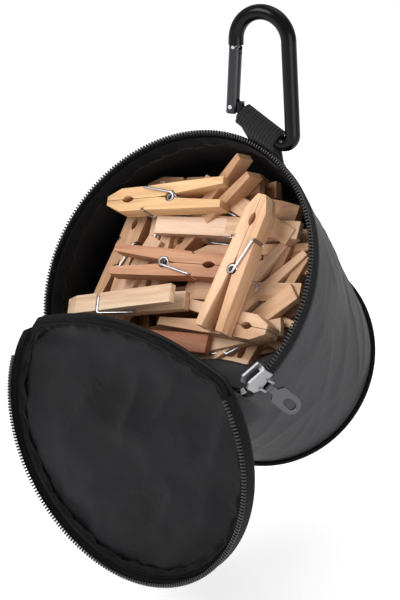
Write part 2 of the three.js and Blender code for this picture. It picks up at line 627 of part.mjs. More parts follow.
// A section of the doubled tail: its middle, the way along its width and the way through both layers.
function tailSection(middle, across, through) {
  return [[-1, -1], [1, -1], [1, 1], [-1, 1]].map(([i, j]) => {
    const point = middle.clone().addScaledVector(across, (i * WEBBING_WIDTH) / 2);
    return point.addScaledVector(through, j * WEBBING);
  });
}
const tail = skin([
  tailSection(barAt.clone().addScaledVector(tailWay, loopInside + WEBBING / 2), barAlong, loopThrough),
  tailSection(new THREE.Vector3(sewn.x, sewn.y, rimHeight), sewnAcross, outward),
  tailSection(new THREE.Vector3(sewn.x, sewn.y, rimHeight - LOOP_TAIL), sewnAcross, outward),
], false);
const envelopeRings = WALL_SHARES.map((share) => wallRing(share, SEAT_GAP, 64));
const lift = new THREE.Vector3(0, 0, tapeFoot);
const envelope = skin([envelopeRings[0].map((p) => p.clone().add(lift)), ...envelopeRings], false);
piece(bag, "hanging_loop", cut(join(ring, tail), envelope), TAPE_BLACK);

// Peg arm, seen from its side: x from the jaw tip to the tail, y away from the other arm.
function armOutline(jawGap) {
  const inside = (x) => {
    const opening = Math.max(0, x - PEG_OPENS_AT) / (PEG_LENGTH - PEG_OPENS_AT);
    return jawGap + (PEG_TAIL_INSIDE - jawGap) * opening;
  };
  const outside = (x) => {
    const thickness = x > PEG_COIL_AT
      ? PEG_ARM + ((PEG_TAIL - PEG_ARM) * (x - PEG_COIL_AT)) / (PEG_LENGTH - PEG_COIL_AT)
      : PEG_ARM;
    return inside(x) + thickness;
  };
  const seat = SPRING_RADIUS + SPRING_WIRE / 2 + RUN_GAP;
  const reach = Math.sqrt(seat ** 2 - inside(PEG_COIL_AT) ** 2);
  const seatFrom = PEG_COIL_AT - reach;
  const seatTo = PEG_COIL_AT + reach;
  const lift = deg(Math.atan2(inside(PEG_COIL_AT), reach));
  const notchRadius = ((PEG_NOTCH / 2) ** 2 + PEG_NOTCH_DEPTH ** 2) / (2 * PEG_NOTCH_DEPTH);
  const notchTurn = deg(Math.asin(PEG_NOTCH / 2 / notchRadius));
  const notchCentre = jawGap + PEG_NOTCH_DEPTH - notchRadius;
  const at = (x, y) => new THREE.Vector2(x, y);
  const grooveFoot = outside(PEG_GROOVE_AT) - PEG_GROOVE_DEPTH;
  const grooveFrom = PEG_GROOVE_AT - PEG_GROOVE / 2;
  const grooveTo = PEG_GROOVE_AT + PEG_GROOVE / 2;
  return [
    at(0, jawGap),
    ...arc(PEG_NOTCH_AT, notchCentre, notchRadius, 90 + notchTurn, 90 - notchTurn, 5),
    at(PEG_OPENS_AT, jawGap),
    at(seatFrom - 0.1, inside(seatFrom)),
    ...arc(PEG_COIL_AT, 0, seat, 180 - lift - 4, lift + 4, 6),
    at(seatTo + 0.1, inside(seatTo)),
    at(PEG_LENGTH, PEG_TAIL_INSIDE),
    at(PEG_LENGTH, outside(PEG_LENGTH)),
    at(PEG_COIL_AT, outside(PEG_COIL_AT)),
    at(grooveTo, outside(grooveTo)),
    at(grooveTo - 0.4, grooveFoot),
    at(grooveFrom + 0.4, grooveFoot),
    at(grooveFrom, outside(grooveFrom)),
    at(PEG_JAW_BEVEL, PEG_ARM),
    at(0, PEG_JAW_TIP),
  ];
}
// Half the width is on each side of the middle. The second arm is the first one, mirrored.
function pegArm(jawGap, side) {
  const outline = armOutline(jawGap);
  const placed = side > 0 ? outline : outline.map((p) => new THREE.Vector2(p.x, -p.y));
  return plate(placed, -PEG_WIDTH / 2, PEG_WIDTH / 2).translate(-PEG_LENGTH / 2, 0, 0);
}
// Peg spring: one wire, from a leg over one arm's groove, through the coil, to a leg over the other's.
function springLine() {
  const legY = PEG_ARM - PEG_GROOVE_DEPTH + SEAT_GAP * 1.5 + SPRING_WIRE / 2;
  const sideZ = PEG_WIDTH / 2 + RUN_GAP + SPRING_WIRE / 2;
  const tipZ = PEG_WIDTH / 2 - 1.5;
  const dx = PEG_GROOVE_AT - PEG_COIL_AT;
  const leave = Math.atan2(legY, dx) - Math.acos(SPRING_RADIUS / Math.hypot(dx, legY));
  const sweep = 2 * leave + 2 * Math.PI * SPRING_TURNS;
  const steps = Math.round((sweep / (2 * Math.PI)) * 8);
  const shift = PEG_COIL_AT - PEG_LENGTH / 2;
  const coil = [];
  for (let i = 0; i <= steps; i += 1) {
    const turn = leave - (sweep * i) / steps;
    const z = sideZ - (2 * sideZ * i) / steps;
    coil.push(new THREE.Vector3(shift + SPRING_RADIUS * Math.cos(turn), SPRING_RADIUS * Math.sin(turn), z));
  }
  const legX = PEG_GROOVE_AT - PEG_LENGTH / 2;
  const bend = SPRING_WIRE;
  const firstLeg = [new THREE.Vector3(legX, legY, -tipZ), new THREE.Vector3(legX, legY, sideZ), coil[0]];
  const lastLeg = [coil[steps], new THREE.Vector3(legX, -legY, -sideZ), new THREE.Vector3(legX, -legY, tipZ)];
  const first = bentLine(firstLeg, [bend], 3).slice(0, -1);
  const last = bentLine(lastLeg, [bend], 3).slice(1);
  return [...first, ...coil, ...last];
}
const springGap = leastSelfGap(springLine(), SPRING_WIRE);
console.log("peg spring, least gap to itself:", springGap.toFixed(2), "mm");

// Where a peg lies: its middle over the mouth's plane, the way from jaws to tail, how far the tail is
// raised, and whether it lies on its side (0) or on the back of an arm (90).
function pegMatrix(x, y, z, heading, rise, roll) {
  const place = new THREE.Matrix4().makeTranslation(x, y, z);
  place.multiply(new THREE.Matrix4().makeRotationZ(rad(heading)));
  place.multiply(new THREE.Matrix4().makeRotationY(rad(-rise)));
  return place.multiply(new THREE.Matrix4().makeRotationX(rad(roll)));
}
const fusedPeg = join(pegArm(-0.05, 1), pegArm(-0.05, -1));
const fusedSolid = solidOf(fusedPeg);
const springSolid = solidOf(tube(springLine(), SPRING_WIRE / 2, 5));
const looseArms = [1, -1].map((side) => solidOf(pegArm(SEAT_GAP / 2, side)));
const wholePeg = springSolid.add(looseArms[0]).add(looseArms[1]);

// The pile: pegs that lie deeper in the bag, crosswise in layers that bear on each other, as one body.
const PILE_LAYERS = 4;
const PILE_TOP = -39;
const PILE_SINK = 0.2; // each layer is pressed this far into the one below
const PILE_PITCH = 21;
const pileArm = (side) => plate(
  [
    new THREE.Vector2(-PEG_LENGTH / 2, side * -0.05),
    new THREE.Vector2(PEG_OPENS_AT - PEG_LENGTH / 2, side * -0.05),
    new THREE.Vector2(PEG_LENGTH / 2, side * PEG_TAIL_INSIDE),
    new THREE.Vector2(PEG_LENGTH / 2, side * (PEG_TAIL_INSIDE + PEG_TAIL)),
    new THREE.Vector2(PEG_JAW_BEVEL - PEG_LENGTH / 2, side * PEG_ARM),
    new THREE.Vector2(-PEG_LENGTH / 2, side * PEG_JAW_TIP),
  ],
  -PEG_WIDTH / 2,
  PEG_WIDTH / 2,
);
const pilePeg = solidOf(join(pileArm(1), pileArm(-1)));
let pile = null;
for (let layer = 0; layer < PILE_LAYERS; layer += 1) {
  const height = PILE_TOP - PEG_WIDTH / 2 - layer * (PEG_WIDTH - PILE_SINK);
  const share = height / BASE_CENTRE[2];
  const middle = new THREE.Vector3(BASE_CENTRE[0] * share, BASE_CENTRE[1] * share, height);
  const across = layer % 2 === 0 ? 20 : 110;
  const rows = layer < 3 ? [-2, -1, 0, 1, 2] : [-1.5, -0.5, 0.5, 1.5];
  for (const row of rows) {
    const swap = (row * 2 + layer) % 2 === 0 ? 0 : 180;
    const place = new THREE.Matrix4().makeTranslation(middle);
    place.multiply(new THREE.Matrix4().makeRotationZ(rad(across)));
    place.multiply(new THREE.Matrix4().makeTranslation(0, row * PILE_PITCH, 0));
    place.multiply(new THREE.Matrix4().makeRotationZ(rad(swap)));
    const placed = pilePeg.transform(place.elements);
    pile = pile ? pile.add(placed) : placed;
  }
}
// Pegs that stick up out of the pile beside the wall.
const PILE_ENDS = [
  { x: -23, y: 56, z: -33, heading: 10, rise: 0, roll: 0 },
  { x: 6, y: 53, z: -33, heading: 182, rise: -6, roll: 90 },
  { x: -14, y: 51, z: -38, heading: 25, rise: 14, roll: 90 },
  { x: 33, y: -29, z: -40, heading: 18, rise: 4, roll: 0 },
];
for (const end of PILE_ENDS) {
  const place = pegMatrix(end.x, end.y, end.z, end.heading, end.rise, end.roll);
  pile = pile.add(fusedSolid.transform(place.elements));
}
const hollow = skin(WALL_SHARES.map((share) => wallRing(share, -WALL - SEAT_GAP)), false);
pile = pile.intersect(solidOf(hollow));
piece(bag, "peg_pile", geometryOf(pile), [WOODS[3], 0.7, 0]);

// The pegs that show, from the lowest up. Each is let down on those below it until it bears on them. The
// first lies beside the wall, as far out as its ends go.
const sideEnd = PEG_LENGTH / 2 + SIDE_PEG_SHIFT;
const sideReach = Math.sqrt((MOUTH_RADIUS - WALL - SEAT_GAP) ** 2 - sideEnd ** 2);
const sidePeg = PEG_TAIL_INSIDE + PEG_TAIL - sideReach;
const PEGS = [
  { name: "peg_06", x: sidePeg, y: SIDE_PEG_SHIFT, heading: -91, rise: 0, roll: 0, wood: 1 },
  { name: "peg_07", x: 20, y: 20, heading: 14, rise: 0, roll: 0, wood: 4 },
  { name: "peg_08", x: 28, y: 6, heading: 12, rise: 0, roll: 90, wood: 0 },
  { name: "peg_09", x: -12, y: -33, heading: 10, rise: 0, roll: 90, wood: 4 },
  { name: "peg_10", x: -2, y: 36, heading: 191, rise: 0, roll: 90, wood: 0 },
  { name: "peg_05", x: 26.5, y: -13.5, heading: 183, rise: -8, roll: 0, wood: 1, opens: true },
  { name: "peg_04", x: -13, y: 9, heading: 191, rise: 4, roll: 0, wood: 3, opens: true },
  { name: "peg_03", x: -33, y: 43, heading: 16, rise: 0, roll: 0, wood: 2, opens: true },
  { name: "peg_01", x: -30, y: -20, heading: 18, rise: 4, roll: 90, wood: 0, opens: true },
  { name: "peg_02", x: 35, y: 17, heading: -91, rise: 0, roll: 0, wood: 2, opens: true },
];
let heap = pile.add(solidOf(wallGeometry));
function letDown(peg, solid) {
  const meets = (z) => {
    const place = pegMatrix(peg.x, peg.y, z, peg.heading, peg.rise, peg.roll);
    return solid.transform(place.elements).intersect(heap).volume() > 1e-3;
  };
  let high = 20;
  while (!meets(high - 2)) {
    high -= 2;
  }
  let low = high - 2;
  for (let i = 0; i < 10; i += 1) {
    const middle = (high + low) / 2;
    if (meets(middle)) {
      low = middle;
    } else {
      high = middle;
    }
  }
  return high + SEAT_GAP;
}
for (const peg of PEGS) {
  const solid = peg.opens ? wholePeg : fusedSolid;
  const height = letDown(peg, solid);
  const place = pegMatrix(peg.x, peg.y, height, peg.heading, peg.rise, peg.roll);
  heap = heap.add(solid.transform(place.elements));
  const group = new THREE.Group();
  group.applyMatrix4(place);
  bag.add(group);
  const wood = [WOODS[peg.wood], 0.65, 0];
  if (peg.opens) {
    piece(group, `${peg.name}_fixed_arm`, pegArm(SEAT_GAP / 2, 1), wood);
    piece(group, `${peg.name}_moving_arm`, pegArm(SEAT_GAP / 2, -1), wood);
    piece(group, `${peg.name}_spring`, tube(springLine(), SPRING_WIRE / 2, 5), STEEL);
  } else {
    piece(group, peg.name, fusedPeg.clone(), wood);
  }
}

export default pegBag;
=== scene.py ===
import math

import bpy
import numpy as np
from mathutils import Matrix, Vector, noise


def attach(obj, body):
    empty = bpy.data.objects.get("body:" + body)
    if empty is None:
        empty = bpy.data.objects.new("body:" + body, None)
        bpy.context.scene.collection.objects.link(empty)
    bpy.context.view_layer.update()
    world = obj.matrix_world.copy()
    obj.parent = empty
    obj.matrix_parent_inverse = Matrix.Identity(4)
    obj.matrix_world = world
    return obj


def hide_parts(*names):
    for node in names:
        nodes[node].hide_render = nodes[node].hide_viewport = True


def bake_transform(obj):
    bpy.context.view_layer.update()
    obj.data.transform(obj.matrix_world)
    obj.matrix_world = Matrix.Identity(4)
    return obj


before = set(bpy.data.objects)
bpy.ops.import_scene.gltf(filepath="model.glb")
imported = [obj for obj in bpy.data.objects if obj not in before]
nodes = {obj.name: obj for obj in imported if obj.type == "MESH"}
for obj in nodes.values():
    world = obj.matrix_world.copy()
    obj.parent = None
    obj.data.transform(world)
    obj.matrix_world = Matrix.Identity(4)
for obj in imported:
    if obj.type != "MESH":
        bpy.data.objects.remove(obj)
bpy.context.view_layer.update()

# Camera, light and floor: the bag hangs before a plain pale ground, seen from its mouth's right side and
# a little from above, in the soft even light of a small studio.
MM = 0.001
VIEW_AZIMUTH = math.radians(38.9)
VIEW_ELEVATION = math.radians(21.4)
CAMERA_AIM = Vector((-10.0, -38.0, -143.2)) * MM
CAMERA_DISTANCE = 800 * MM
CAMERA_LENS = 91.2
FLOOR_HEIGHT = -340 * MM
FLOOR_REACH = 6000 * MM
FLOOR_GLOW = 0.45
ROOM_LIGHT = 0.55


def srgb(code):
    """An sRGB hex colour as the linear values that a shader takes."""
    channels = [int(code[i:i + 2], 16) / 255 for i in (1, 3, 5)]
    return tuple(c / 12.92 if c <= 0.04045 else ((c + 0.055) / 1.055) ** 2.4 for c in channels) + (1.0,)


def material(name, roughness, metallic=0.0):
    """A new material and its surface shader."""
    made = bpy.data.materials.new(name)
    made.use_nodes = True
    shader = made.node_tree.nodes["Principled BSDF"]
    shader.inputs["Roughness"].default_value = roughness
    shader.inputs["Metallic"].default_value = metallic
    return made, shader


def node(made, kind, links=(), **values):
    """Adds a shader node. links are (input, socket) pairs; values set inputs or properties by name."""
    added = made.node_tree.nodes.new(kind)
    for key, value in values.items():
        if hasattr(added, key):
            setattr(added, key, value)
        else:
            added.inputs[key.replace("_", " ")].default_value = value
    for name, socket in links:
        made.node_tree.links.new(socket, added.inputs[name])
    return added


def link(made, socket, target):
    made.node_tree.links.new(socket, target)


def tones(made, fac, dark, pale, low=0.3, high=0.7):
    """A surface's colour: from a dark to a pale tone, as a pattern's value goes from low to high."""
    share = node(made, "ShaderNodeMapRange", [("Value", fac)], From_Min=low, From_Max=high)
    mixed = node(made, "ShaderNodeMix", [("Factor", share.outputs["Result"])], data_type="RGBA")
    mixed.inputs[6].default_value = srgb(dark)
    mixed.inputs[7].default_value = srgb(pale)
    return mixed.outputs[2]


def per(size):
    """The scale of a pattern whose features are so many millimetres across."""
    return 1 / (size * MM)


towards = Vector((
    math.sin(VIEW_AZIMUTH) * math.cos(VIEW_ELEVATION),
    -math.cos(VIEW_AZIMUTH) * math.cos(VIEW_ELEVATION),
    math.sin(VIEW_ELEVATION),
))
camera_data = bpy.data.cameras.new("camera")
camera_data.lens = CAMERA_LENS
camera = bpy.data.objects.new("camera", camera_data)
bpy.context.collection.objects.link(camera)
camera.location = CAMERA_AIM + towards * CAMERA_DISTANCE
camera.rotation_euler = (-towards).to_track_quat("-Z", "Y").to_euler()
bpy.context.scene.camera = camera
bpy.context.scene.view_settings.view_transform = "Standard"


def area_light(name, place, power, size):
    """A square lamp that faces the middle of the view."""
    data = bpy.data.lights.new(name, "AREA")
    data.energy = power
    data.size = size
    lamp = bpy.data.objects.new(name, data)
    bpy.context.collection.objects.link(lamp)
    lamp.location = place
    lamp.rotation_euler = (CAMERA_AIM - lamp.location).to_track_quat("-Z", "Y").to_euler()


area_light("key_light", Vector((-0.35, -1.0, 0.75)), power=13, size=0.7)
area_light("side_light", Vector((1.0, -0.4, -0.15)), power=6, size=0.8)
area_light("top_light", Vector((0.1, 0.3, 1.0)), power=2.5, size=0.8)
world = bpy.data.worlds.new("studio")
world.use_nodes = True
world.node_tree.nodes["Background"].inputs["Color"].default_value = (1, 1, 1, 1)
world.node_tree.nodes["Background"].inputs["Strength"].default_value = ROOM_LIGHT
bpy.context.scene.world = world

# Matt white paint, which glows a little as a lit studio ground does: it shows no highlight.
floor_paint, floor_shader = material("pale_floor_paint", 0.9)
floor_at = node(floor_paint, "ShaderNodeTexCoord").outputs["Object"]
floor_noise = node(floor_paint, "ShaderNodeTexNoise", [("Vector", floor_at)], Scale=per(2000))
link(floor_paint, tones(floor_paint, floor_noise.outputs["Fac"], "#ffffff", "#fdfdfd"),
     floor_shader.inputs["Base Color"])
floor_shader.inputs["Emission Color"].default_value = (1, 1, 1, 1)
floor_shader.inputs["Emission Strength"].default_value = FLOOR_GLOW


def mesh_piece(name, points, faces, surface, smooth=True):
    """A new object from points in metres and faces."""
    data = bpy.data.meshes.new(name)
    data.from_pydata([tuple(p) for p in points], [], faces)
    data.validate()
    data.update()
    if smooth:
        data.polygons.foreach_set("use_smooth", [True] * len(data.polygons))
    made = bpy.data.objects.new(name, data)
    bpy.context.collection.objects.link(made)
    data.materials.append(surface)
    return made


floor_corners = []
for x, y in ((-1, -1), (1, -1), (1, 1), (-1, 1)):
    floor_corners.append((x * FLOOR_REACH, y * FLOOR_REACH, FLOOR_HEIGHT))
floor = mesh_piece("floor", floor_corners, [(0, 1, 2, 3)], floor_paint)

# Bag wall: one loft of satin black nylon, coated inside. It is straight at the hinge, round below, and
# tapers to the base; the cloth hangs in long soft folds, because nothing stiffens it.
MOUTH_TILT = math.radians(55)
MOUTH_RADIUS = 82.0
RIM_TOP = Vector((-1, 0.8, -67.1))
LOOP_ANGLE = math.radians(73)
HINGE_OFFSET = 47.0
MOUTH_CORNER = 6.0
WALL = 1.5
BASE_RADIUS = 66.0
BASE_CENTRE = Vector((-32, -6, -167))
BASE_TILT = math.radians(11)
SHOULDER = 45.0
TEETH_HEIGHT = 1.6
TAPE_WIDTH = 6.0
GAP = 0.3
RIM = -(GAP / 2 + TEETH_HEIGHT + GAP + TAPE_WIDTH + GAP)
FOLD_DEPTH = 1.5
SLACK_ROUND = 2.08
SLACK_DOWN = 1.43
SLACK_DEEP = 0.8
CREASE_ROUND = 3.52
CREASE_DOWN = 1.54
CREASE_SLANT = 0.9
CREASE_SHARP = 7
CREASE_DEEP = 0.5
CRINKLE_ROUND = 9
CRINKLE_DOWN = 7
CRINKLE_DEEP = 0.12
bag_turn = Matrix.Rotation(MOUTH_TILT, 4, "X")
to_rim = Vector((math.cos(LOOP_ANGLE), math.sin(LOOP_ANGLE), 0)) * MOUTH_RADIUS
bag_place = Matrix.Scale(MM, 4) @ Matrix.Translation(RIM_TOP - bag_turn @ to_rim) @ bag_turn
corner_x = math.sqrt((MOUTH_RADIUS - MOUTH_CORNER) ** 2 - (HINGE_OFFSET - MOUTH_CORNER) ** 2)
corner_y = MOUTH_CORNER - HINGE_OFFSET
ZIP_START = math.degrees(math.atan2(corner_y, corner_x))
ZIP_END = 180 - ZIP_START


def mouth_point(place, out):
    """A point of the mouth's outline, by its place in degrees, moved out by so many millimetres."""
    turn = math.radians(place)
    way = Vector((math.cos(turn), math.sin(turn)))
    if place < ZIP_START:
        return Vector((corner_x, corner_y)) + way * (MOUTH_CORNER + out)
    if place > ZIP_END:
        return Vector((-corner_x, corner_y)) + way * (MOUTH_CORNER + out)
    return way * (MOUTH_RADIUS + out)


def mouth_outline(out, arc_steps, corner_steps, straight_steps):
    """The whole outline, from the zip's start to its end, along the hinge and back, in millimetres."""
    arc = ZIP_END - ZIP_START
    corner = ZIP_START + 90
    round_part = [mouth_point(ZIP_START + arc * i / arc_steps, out) for i in range(arc_steps + 1)]
    left = [mouth_point(ZIP_END + corner * i / corner_steps, out) for i in range(1, corner_steps + 1)]
    right = [mouth_point(-90 + corner * i / corner_steps, out) for i in range(corner_steps)]
    straight = [Vector((-corner_x + 2 * corner_x * i / straight_steps, -HINGE_OFFSET - out))
                for i in range(1, straight_steps)]
    return round_part + left + straight + right


def grid_faces(rows, columns, wrap_rows=False, wrap_columns=False):
    """Quads over a grid of points stored row by row."""
    faces = []
    for i in range(rows if wrap_rows else rows - 1):
        for j in range(columns if wrap_columns else columns - 1):
            k = (i + 1) % rows
            m = (j + 1) % columns
            faces.append((i * columns + j, i * columns + m, k * columns + m, k * columns + j))
    return faces


def smooth_step(t):
    """Rises from 0 to 1 with no corner at either end."""
    t = min(1.0, max(0.0, t))
    return t * t * (3 - 2 * t)


def wall_point(flat_point, share, out):
    """A point of the wall, from a point of the mouth's outline and a share of the depth."""
    centre = Vector((0, 0, RIM)).lerp(BASE_CENTRE, share)
    roundness = smooth_step((centre.length + RIM) / SHOULDER)
    radius = MOUTH_RADIUS + WALL / 2 + (BASE_RADIUS - MOUTH_RADIUS - WALL / 2) * share + out
    to_round = flat_point.normalized() * radius
    near = flat_point * (radius / (MOUTH_RADIUS + WALL / 2 + out))
    mixed = near.lerp(to_round, roundness)
    turned = Matrix.Rotation(BASE_TILT * share, 3, "Y") @ Vector((mixed.x, mixed.y, 0))
    return turned + centre


def round_the_bag(turn, around, down):
    """A place in a pattern that runs round the bag without a seam."""
    return Vector((math.cos(turn) * around, math.sin(turn) * around, down))


def fold(turn, depth):
    """How far the cloth stands out of its loft, in millimetres: broad slack, long creases, small crinkle."""
    slack = noise.noise(round_the_bag(turn, SLACK_ROUND, depth * SLACK_DOWN))
    slanted = round_the_bag(turn + depth * CREASE_SLANT, CREASE_ROUND, depth * CREASE_DOWN)
    crease = (1 - abs(noise.noise(slanted))) ** CREASE_SHARP
    crinkle = noise.noise(round_the_bag(turn, CRINKLE_ROUND, depth * CRINKLE_DOWN))
    return SLACK_DEEP * slack + CREASE_DEEP * (crease - 0.5) + CRINKLE_DEEP * crinkle


def nylon_cloth(name, dark, pale, shine, roughness, crinkle):
    """Woven nylon: slow changes of tone 50 mm across, crinkles of 14 mm in the sheen and a fine weave."""
    made, shader = material(name, roughness)
    at = node(made, "ShaderNodeTexCoord").outputs["Object"]
    cloud = node(made, "ShaderNodeTexNoise", [("Vector", at)], Scale=per(50), Detail=5.0)
    link(made, tones(made, cloud.outputs["Fac"], dark, pale), shader.inputs["Base Color"])
    # The weave is 0.5 mm on the real cloth; here its threads are 1.4 mm apart, so that they show. A slanting
    # wave has a length of pi / 5 / sqrt(3) at a scale of one.
    weave = node(made, "ShaderNodeTexWave", [("Vector", at)], Scale=per(1.4) * math.pi / 5 / math.sqrt(3),
                 Distortion=0.6, bands_direction="DIAGONAL")
    grain = node(made, "ShaderNodeTexNoise", [("Vector", at)], Scale=per(1.11), Detail=2.0)
    threads = node(made, "ShaderNodeMath", [(0, weave.outputs["Fac"]), (1, grain.outputs["Fac"])],
                   operation="ADD")
    fine = node(made, "ShaderNodeBump", [("Height", threads.outputs[0])], Strength=0.05, Distance=0.0004)
    rumple = node(made, "ShaderNodeTexNoise", [("Vector", at)], Scale=per(14.3), Detail=3.0, Distortion=1.2)
    heights = [("Height", rumple.outputs["Fac"]), ("Normal", fine.outputs["Normal"])]
    coarse = node(made, "ShaderNodeBump", heights, Strength=crinkle, Distance=0.003)
    link(made, coarse.outputs["Normal"], shader.inputs["Normal"])
    rough = node(made, "ShaderNodeMapRange", [("Value", cloud.outputs["Fac"])], To_Min=roughness - 0.06,
                 To_Max=roughness + 0.08)
    link(made, rough.outputs["Result"], shader.inputs["Roughness"])
    shader.inputs["Specular IOR Level"].default_value = shine
    return made


# The outside is a plain satin: it shines only where it is seen at a low angle, and its folds show as
# soft bands of grey.
nylon = nylon_cloth("satin_black_nylon", "#302f31", "#3c3b3d", 0.016, 0.42, 0.14)
# The inside has a thin coat, which gives a duller, blotchy black.
lining, lining_shader = material("coated_nylon_inside", 0.55)
lining_at = node(lining, "ShaderNodeTexCoord").outputs["Object"]
lining_noise = node(lining, "ShaderNodeTexNoise", [("Vector", lining_at)], Scale=per(16.7), Detail=5.0)
link(lining, tones(lining, lining_noise.outputs["Fac"], "#171618", "#232224"),
     lining_shader.inputs["Base Color"])
lining_shader.inputs["Specular IOR Level"].default_value = 0.25
lining_bump = node(lining, "ShaderNodeBump", [("Height", lining_noise.outputs["Fac"])], Strength=0.2,
                   Distance=0.002)
link(lining, lining_bump.outputs["Normal"], lining_shader.inputs["Normal"])

WALL_ROWS = 56
WALL_CLOTH = 1.2
RIM_HOLDS = 0.12
BASE_HOLDS = 0.1
wall_outline = mouth_outline(WALL / 2, arc_steps=150, corner_steps=8, straight_steps=40)
wall_points = []
for row in range(WALL_ROWS + 1):
    share = row / WALL_ROWS
    held = smooth_step(share / RIM_HOLDS) * smooth_step((1 - share) / BASE_HOLDS)
    for flat_point in wall_outline:
        turn = math.atan2(flat_point.y, flat_point.x)
        out = FOLD_DEPTH * fold(turn, share * 2) * held
        wall_points.append(bag_place @ wall_point(flat_point, share, out))
wall_faces = [face[::-1] for face in grid_faces(WALL_ROWS + 1, len(wall_outline), False, True)]
wall = mesh_piece("bag_wall_cloth", wall_points, wall_faces, nylon)
wall.data.materials.append(lining)
thickness = wall.modifiers.new("cloth", "SOLIDIFY")
thickness.thickness = WALL_CLOTH * MM
thickness.offset = -1
thickness.material_offset = 1
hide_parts("bag_wall")
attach(wall, "bag")

# Base: a round panel of the same nylon over a stiff board, sewn into the wall's lower edge. A black corded
# piping covers the seam.
BASE_RINGS = 14
BASE_STEPS = 96
BASE_DENT = 1.2
BASE_RIPPLE = 0.4
BASE_SEAT = 0.4
MIDDLE_WELD = 0.2
PIPING_RADIUS = 1.5
PIPING_SEAT = 0.1
PIPING_STEPS = 180
base_points = []
base_turn = Matrix.Rotation(BASE_TILT, 3, "Y")
for ring in range(BASE_RINGS + 1):
    reach = (BASE_RADIUS - WALL) * ring / BASE_RINGS
    for step in range(BASE_STEPS):
        turn = 2 * math.pi * step / BASE_STEPS
        ripple = BASE_RIPPLE * noise.noise(Vector((math.cos(turn), math.sin(turn), ring / 4)))
        dent = BASE_DENT * (1 - (ring / BASE_RINGS) ** 2) + ripple
        local = base_turn @ Vector((reach * math.cos(turn), reach * math.sin(turn), BASE_SEAT + dent))
        base_points.append(bag_place @ (local + BASE_CENTRE))
base = mesh_piece("base_cloth", base_points, grid_faces(BASE_RINGS + 1, BASE_STEPS, False, True), nylon)
base_weld = base.modifiers.new("middle", "WELD")
base_weld.merge_threshold = MIDDLE_WELD * MM
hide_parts("base_panel")
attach(base, "bag")

# Woven polyester tape: a deep matt black. Its threads are 0.3 mm apart, and are drawn at 1.43 mm, so that
# they show.
tape_cloth, tape_shader = material("black_woven_tape", 0.8)
tape_at = node(tape_cloth, "ShaderNodeTexCoord").outputs["Object"]
tape_noise = node(tape_cloth, "ShaderNodeTexNoise", [("Vector", tape_at)], Scale=per(1.43))
link(tape_cloth, tones(tape_cloth, tape_noise.outputs["Fac"], "#080809", "#111012"),
     tape_shader.inputs["Base Color"])
tape_bump = node(tape_cloth, "ShaderNodeBump", [("Height", tape_noise.outputs["Fac"])], Strength=0.4,
                 Distance=0.0005)
link(tape_cloth, tape_bump.outputs["Normal"], tape_shader.inputs["Normal"])
tape_shader.inputs["Sheen Weight"].default_value = 0.04
tape_shader.inputs["Specular IOR Level"].default_value = 0.08


def tube_points(line, radius, sides, closed):
    """Rings of points round a line of points, carried along it without twist."""
    count = len(line)
    side = None
    points = []
    for i, at in enumerate(line):
        before = line[(i - 1) % count] if closed else line[max(i - 1, 0)]
        after = line[(i + 1) % count] if closed else line[min(i + 1, count - 1)]
        along = (after - before).normalized()
        if side is None:
            side = along.cross(Vector((0, 0, 1)) if abs(along.z) < 0.7 else Vector((1, 0, 0)))
        side = (side - along * side.dot(along)).normalized()
        up = along.cross(side)
        for j in range(sides):
            turn = 2 * math.pi * j / sides
            points.append(at + side * (radius * math.cos(turn)) + up * (radius * math.sin(turn)))
    return points


def tube_piece(name, line, radius, sides, surface, closed=False):
    """A round rod along points in metres, with shut ends where it is open."""
    points = tube_points(line, radius, sides, closed)
    faces = grid_faces(len(line), sides, closed, True)
    if not closed:
        faces.append(tuple(range(sides)))
        faces.append(tuple(range(len(points) - 1, len(points) - 1 - sides, -1)))
    return mesh_piece(name, points, faces, surface)


piping_line = []
piping_reach = BASE_RADIUS + PIPING_RADIUS + PIPING_SEAT
for step in range(PIPING_STEPS):
    turn = 2 * math.pi * step / PIPING_STEPS
    local = Vector((piping_reach * math.cos(turn), piping_reach * math.sin(turn), 2 * PIPING_RADIUS))
    piping_line.append(bag_place @ (base_turn @ local + BASE_CENTRE))
piping = tube_piece("base_piping_cord", piping_line, PIPING_RADIUS * MM, 10, tape_cloth, closed=True)
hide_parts("base_piping")
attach(piping, "bag")

# Zip on the bag: a woven tape sewn inside the rim, which stands out past it, with moulded teeth on its free
# edge. The nylon's seam allowance is turned in and puckers along the stitching.
TAPE = 1.0
TAPE_SEWN = 1.0
TAPE_THINNED = 0.2
TAPE_WAVER = 0.25
TAPE_RUN_ON = 25
STRIP_STEP = 1.5
TEETH_GRIP = 0.4
TOOTH_PITCH = 1.8
TOOTH_WIDTH = 1.05
TEETH_THICKNESS = 2.6
TOOTH_SIDES = 10
TOOTH_SQUARENESS = 0.6
# Each ring of a tooth: its place, as a share of the width, and its size.
TOOTH_RINGS = ((-0.5, 0.72), (-0.32, 1.0), (0.32, 1.0), (0.5, 0.72))


def strip_piece(name, place, from_, to, profile, surface, waver=0.0):
    """A strip round the mouth with a closed profile of (out, height) points, in millimetres."""
    steps = int((to - from_) / STRIP_STEP)
    points = []
    for i in range(steps + 1):
        at = from_ + (to - from_) * i / steps
        wave = waver * noise.noise(Vector((at * 0.09, 0, 3.1)))
        for out, height in profile:
            flat_point = mouth_point(at, out + wave)
            points.append(place @ Vector((flat_point.x, flat_point.y, height)))
    faces = grid_faces(steps + 1, len(profile), False, True)
    faces.append(tuple(range(len(profile))))
    faces.append(tuple(range(len(points) - 1, len(points) - 1 - len(profile), -1)))
    return mesh_piece(name, points, faces, surface, smooth=False)


def squared(turn):
    """The x and y of a point on a rounded square, two across."""
    x = math.copysign(abs(math.cos(turn)) ** TOOTH_SQUARENESS, math.cos(turn))
    y = math.copysign(abs(math.sin(turn)) ** TOOTH_SQUARENESS, math.sin(turn))
    return x, y


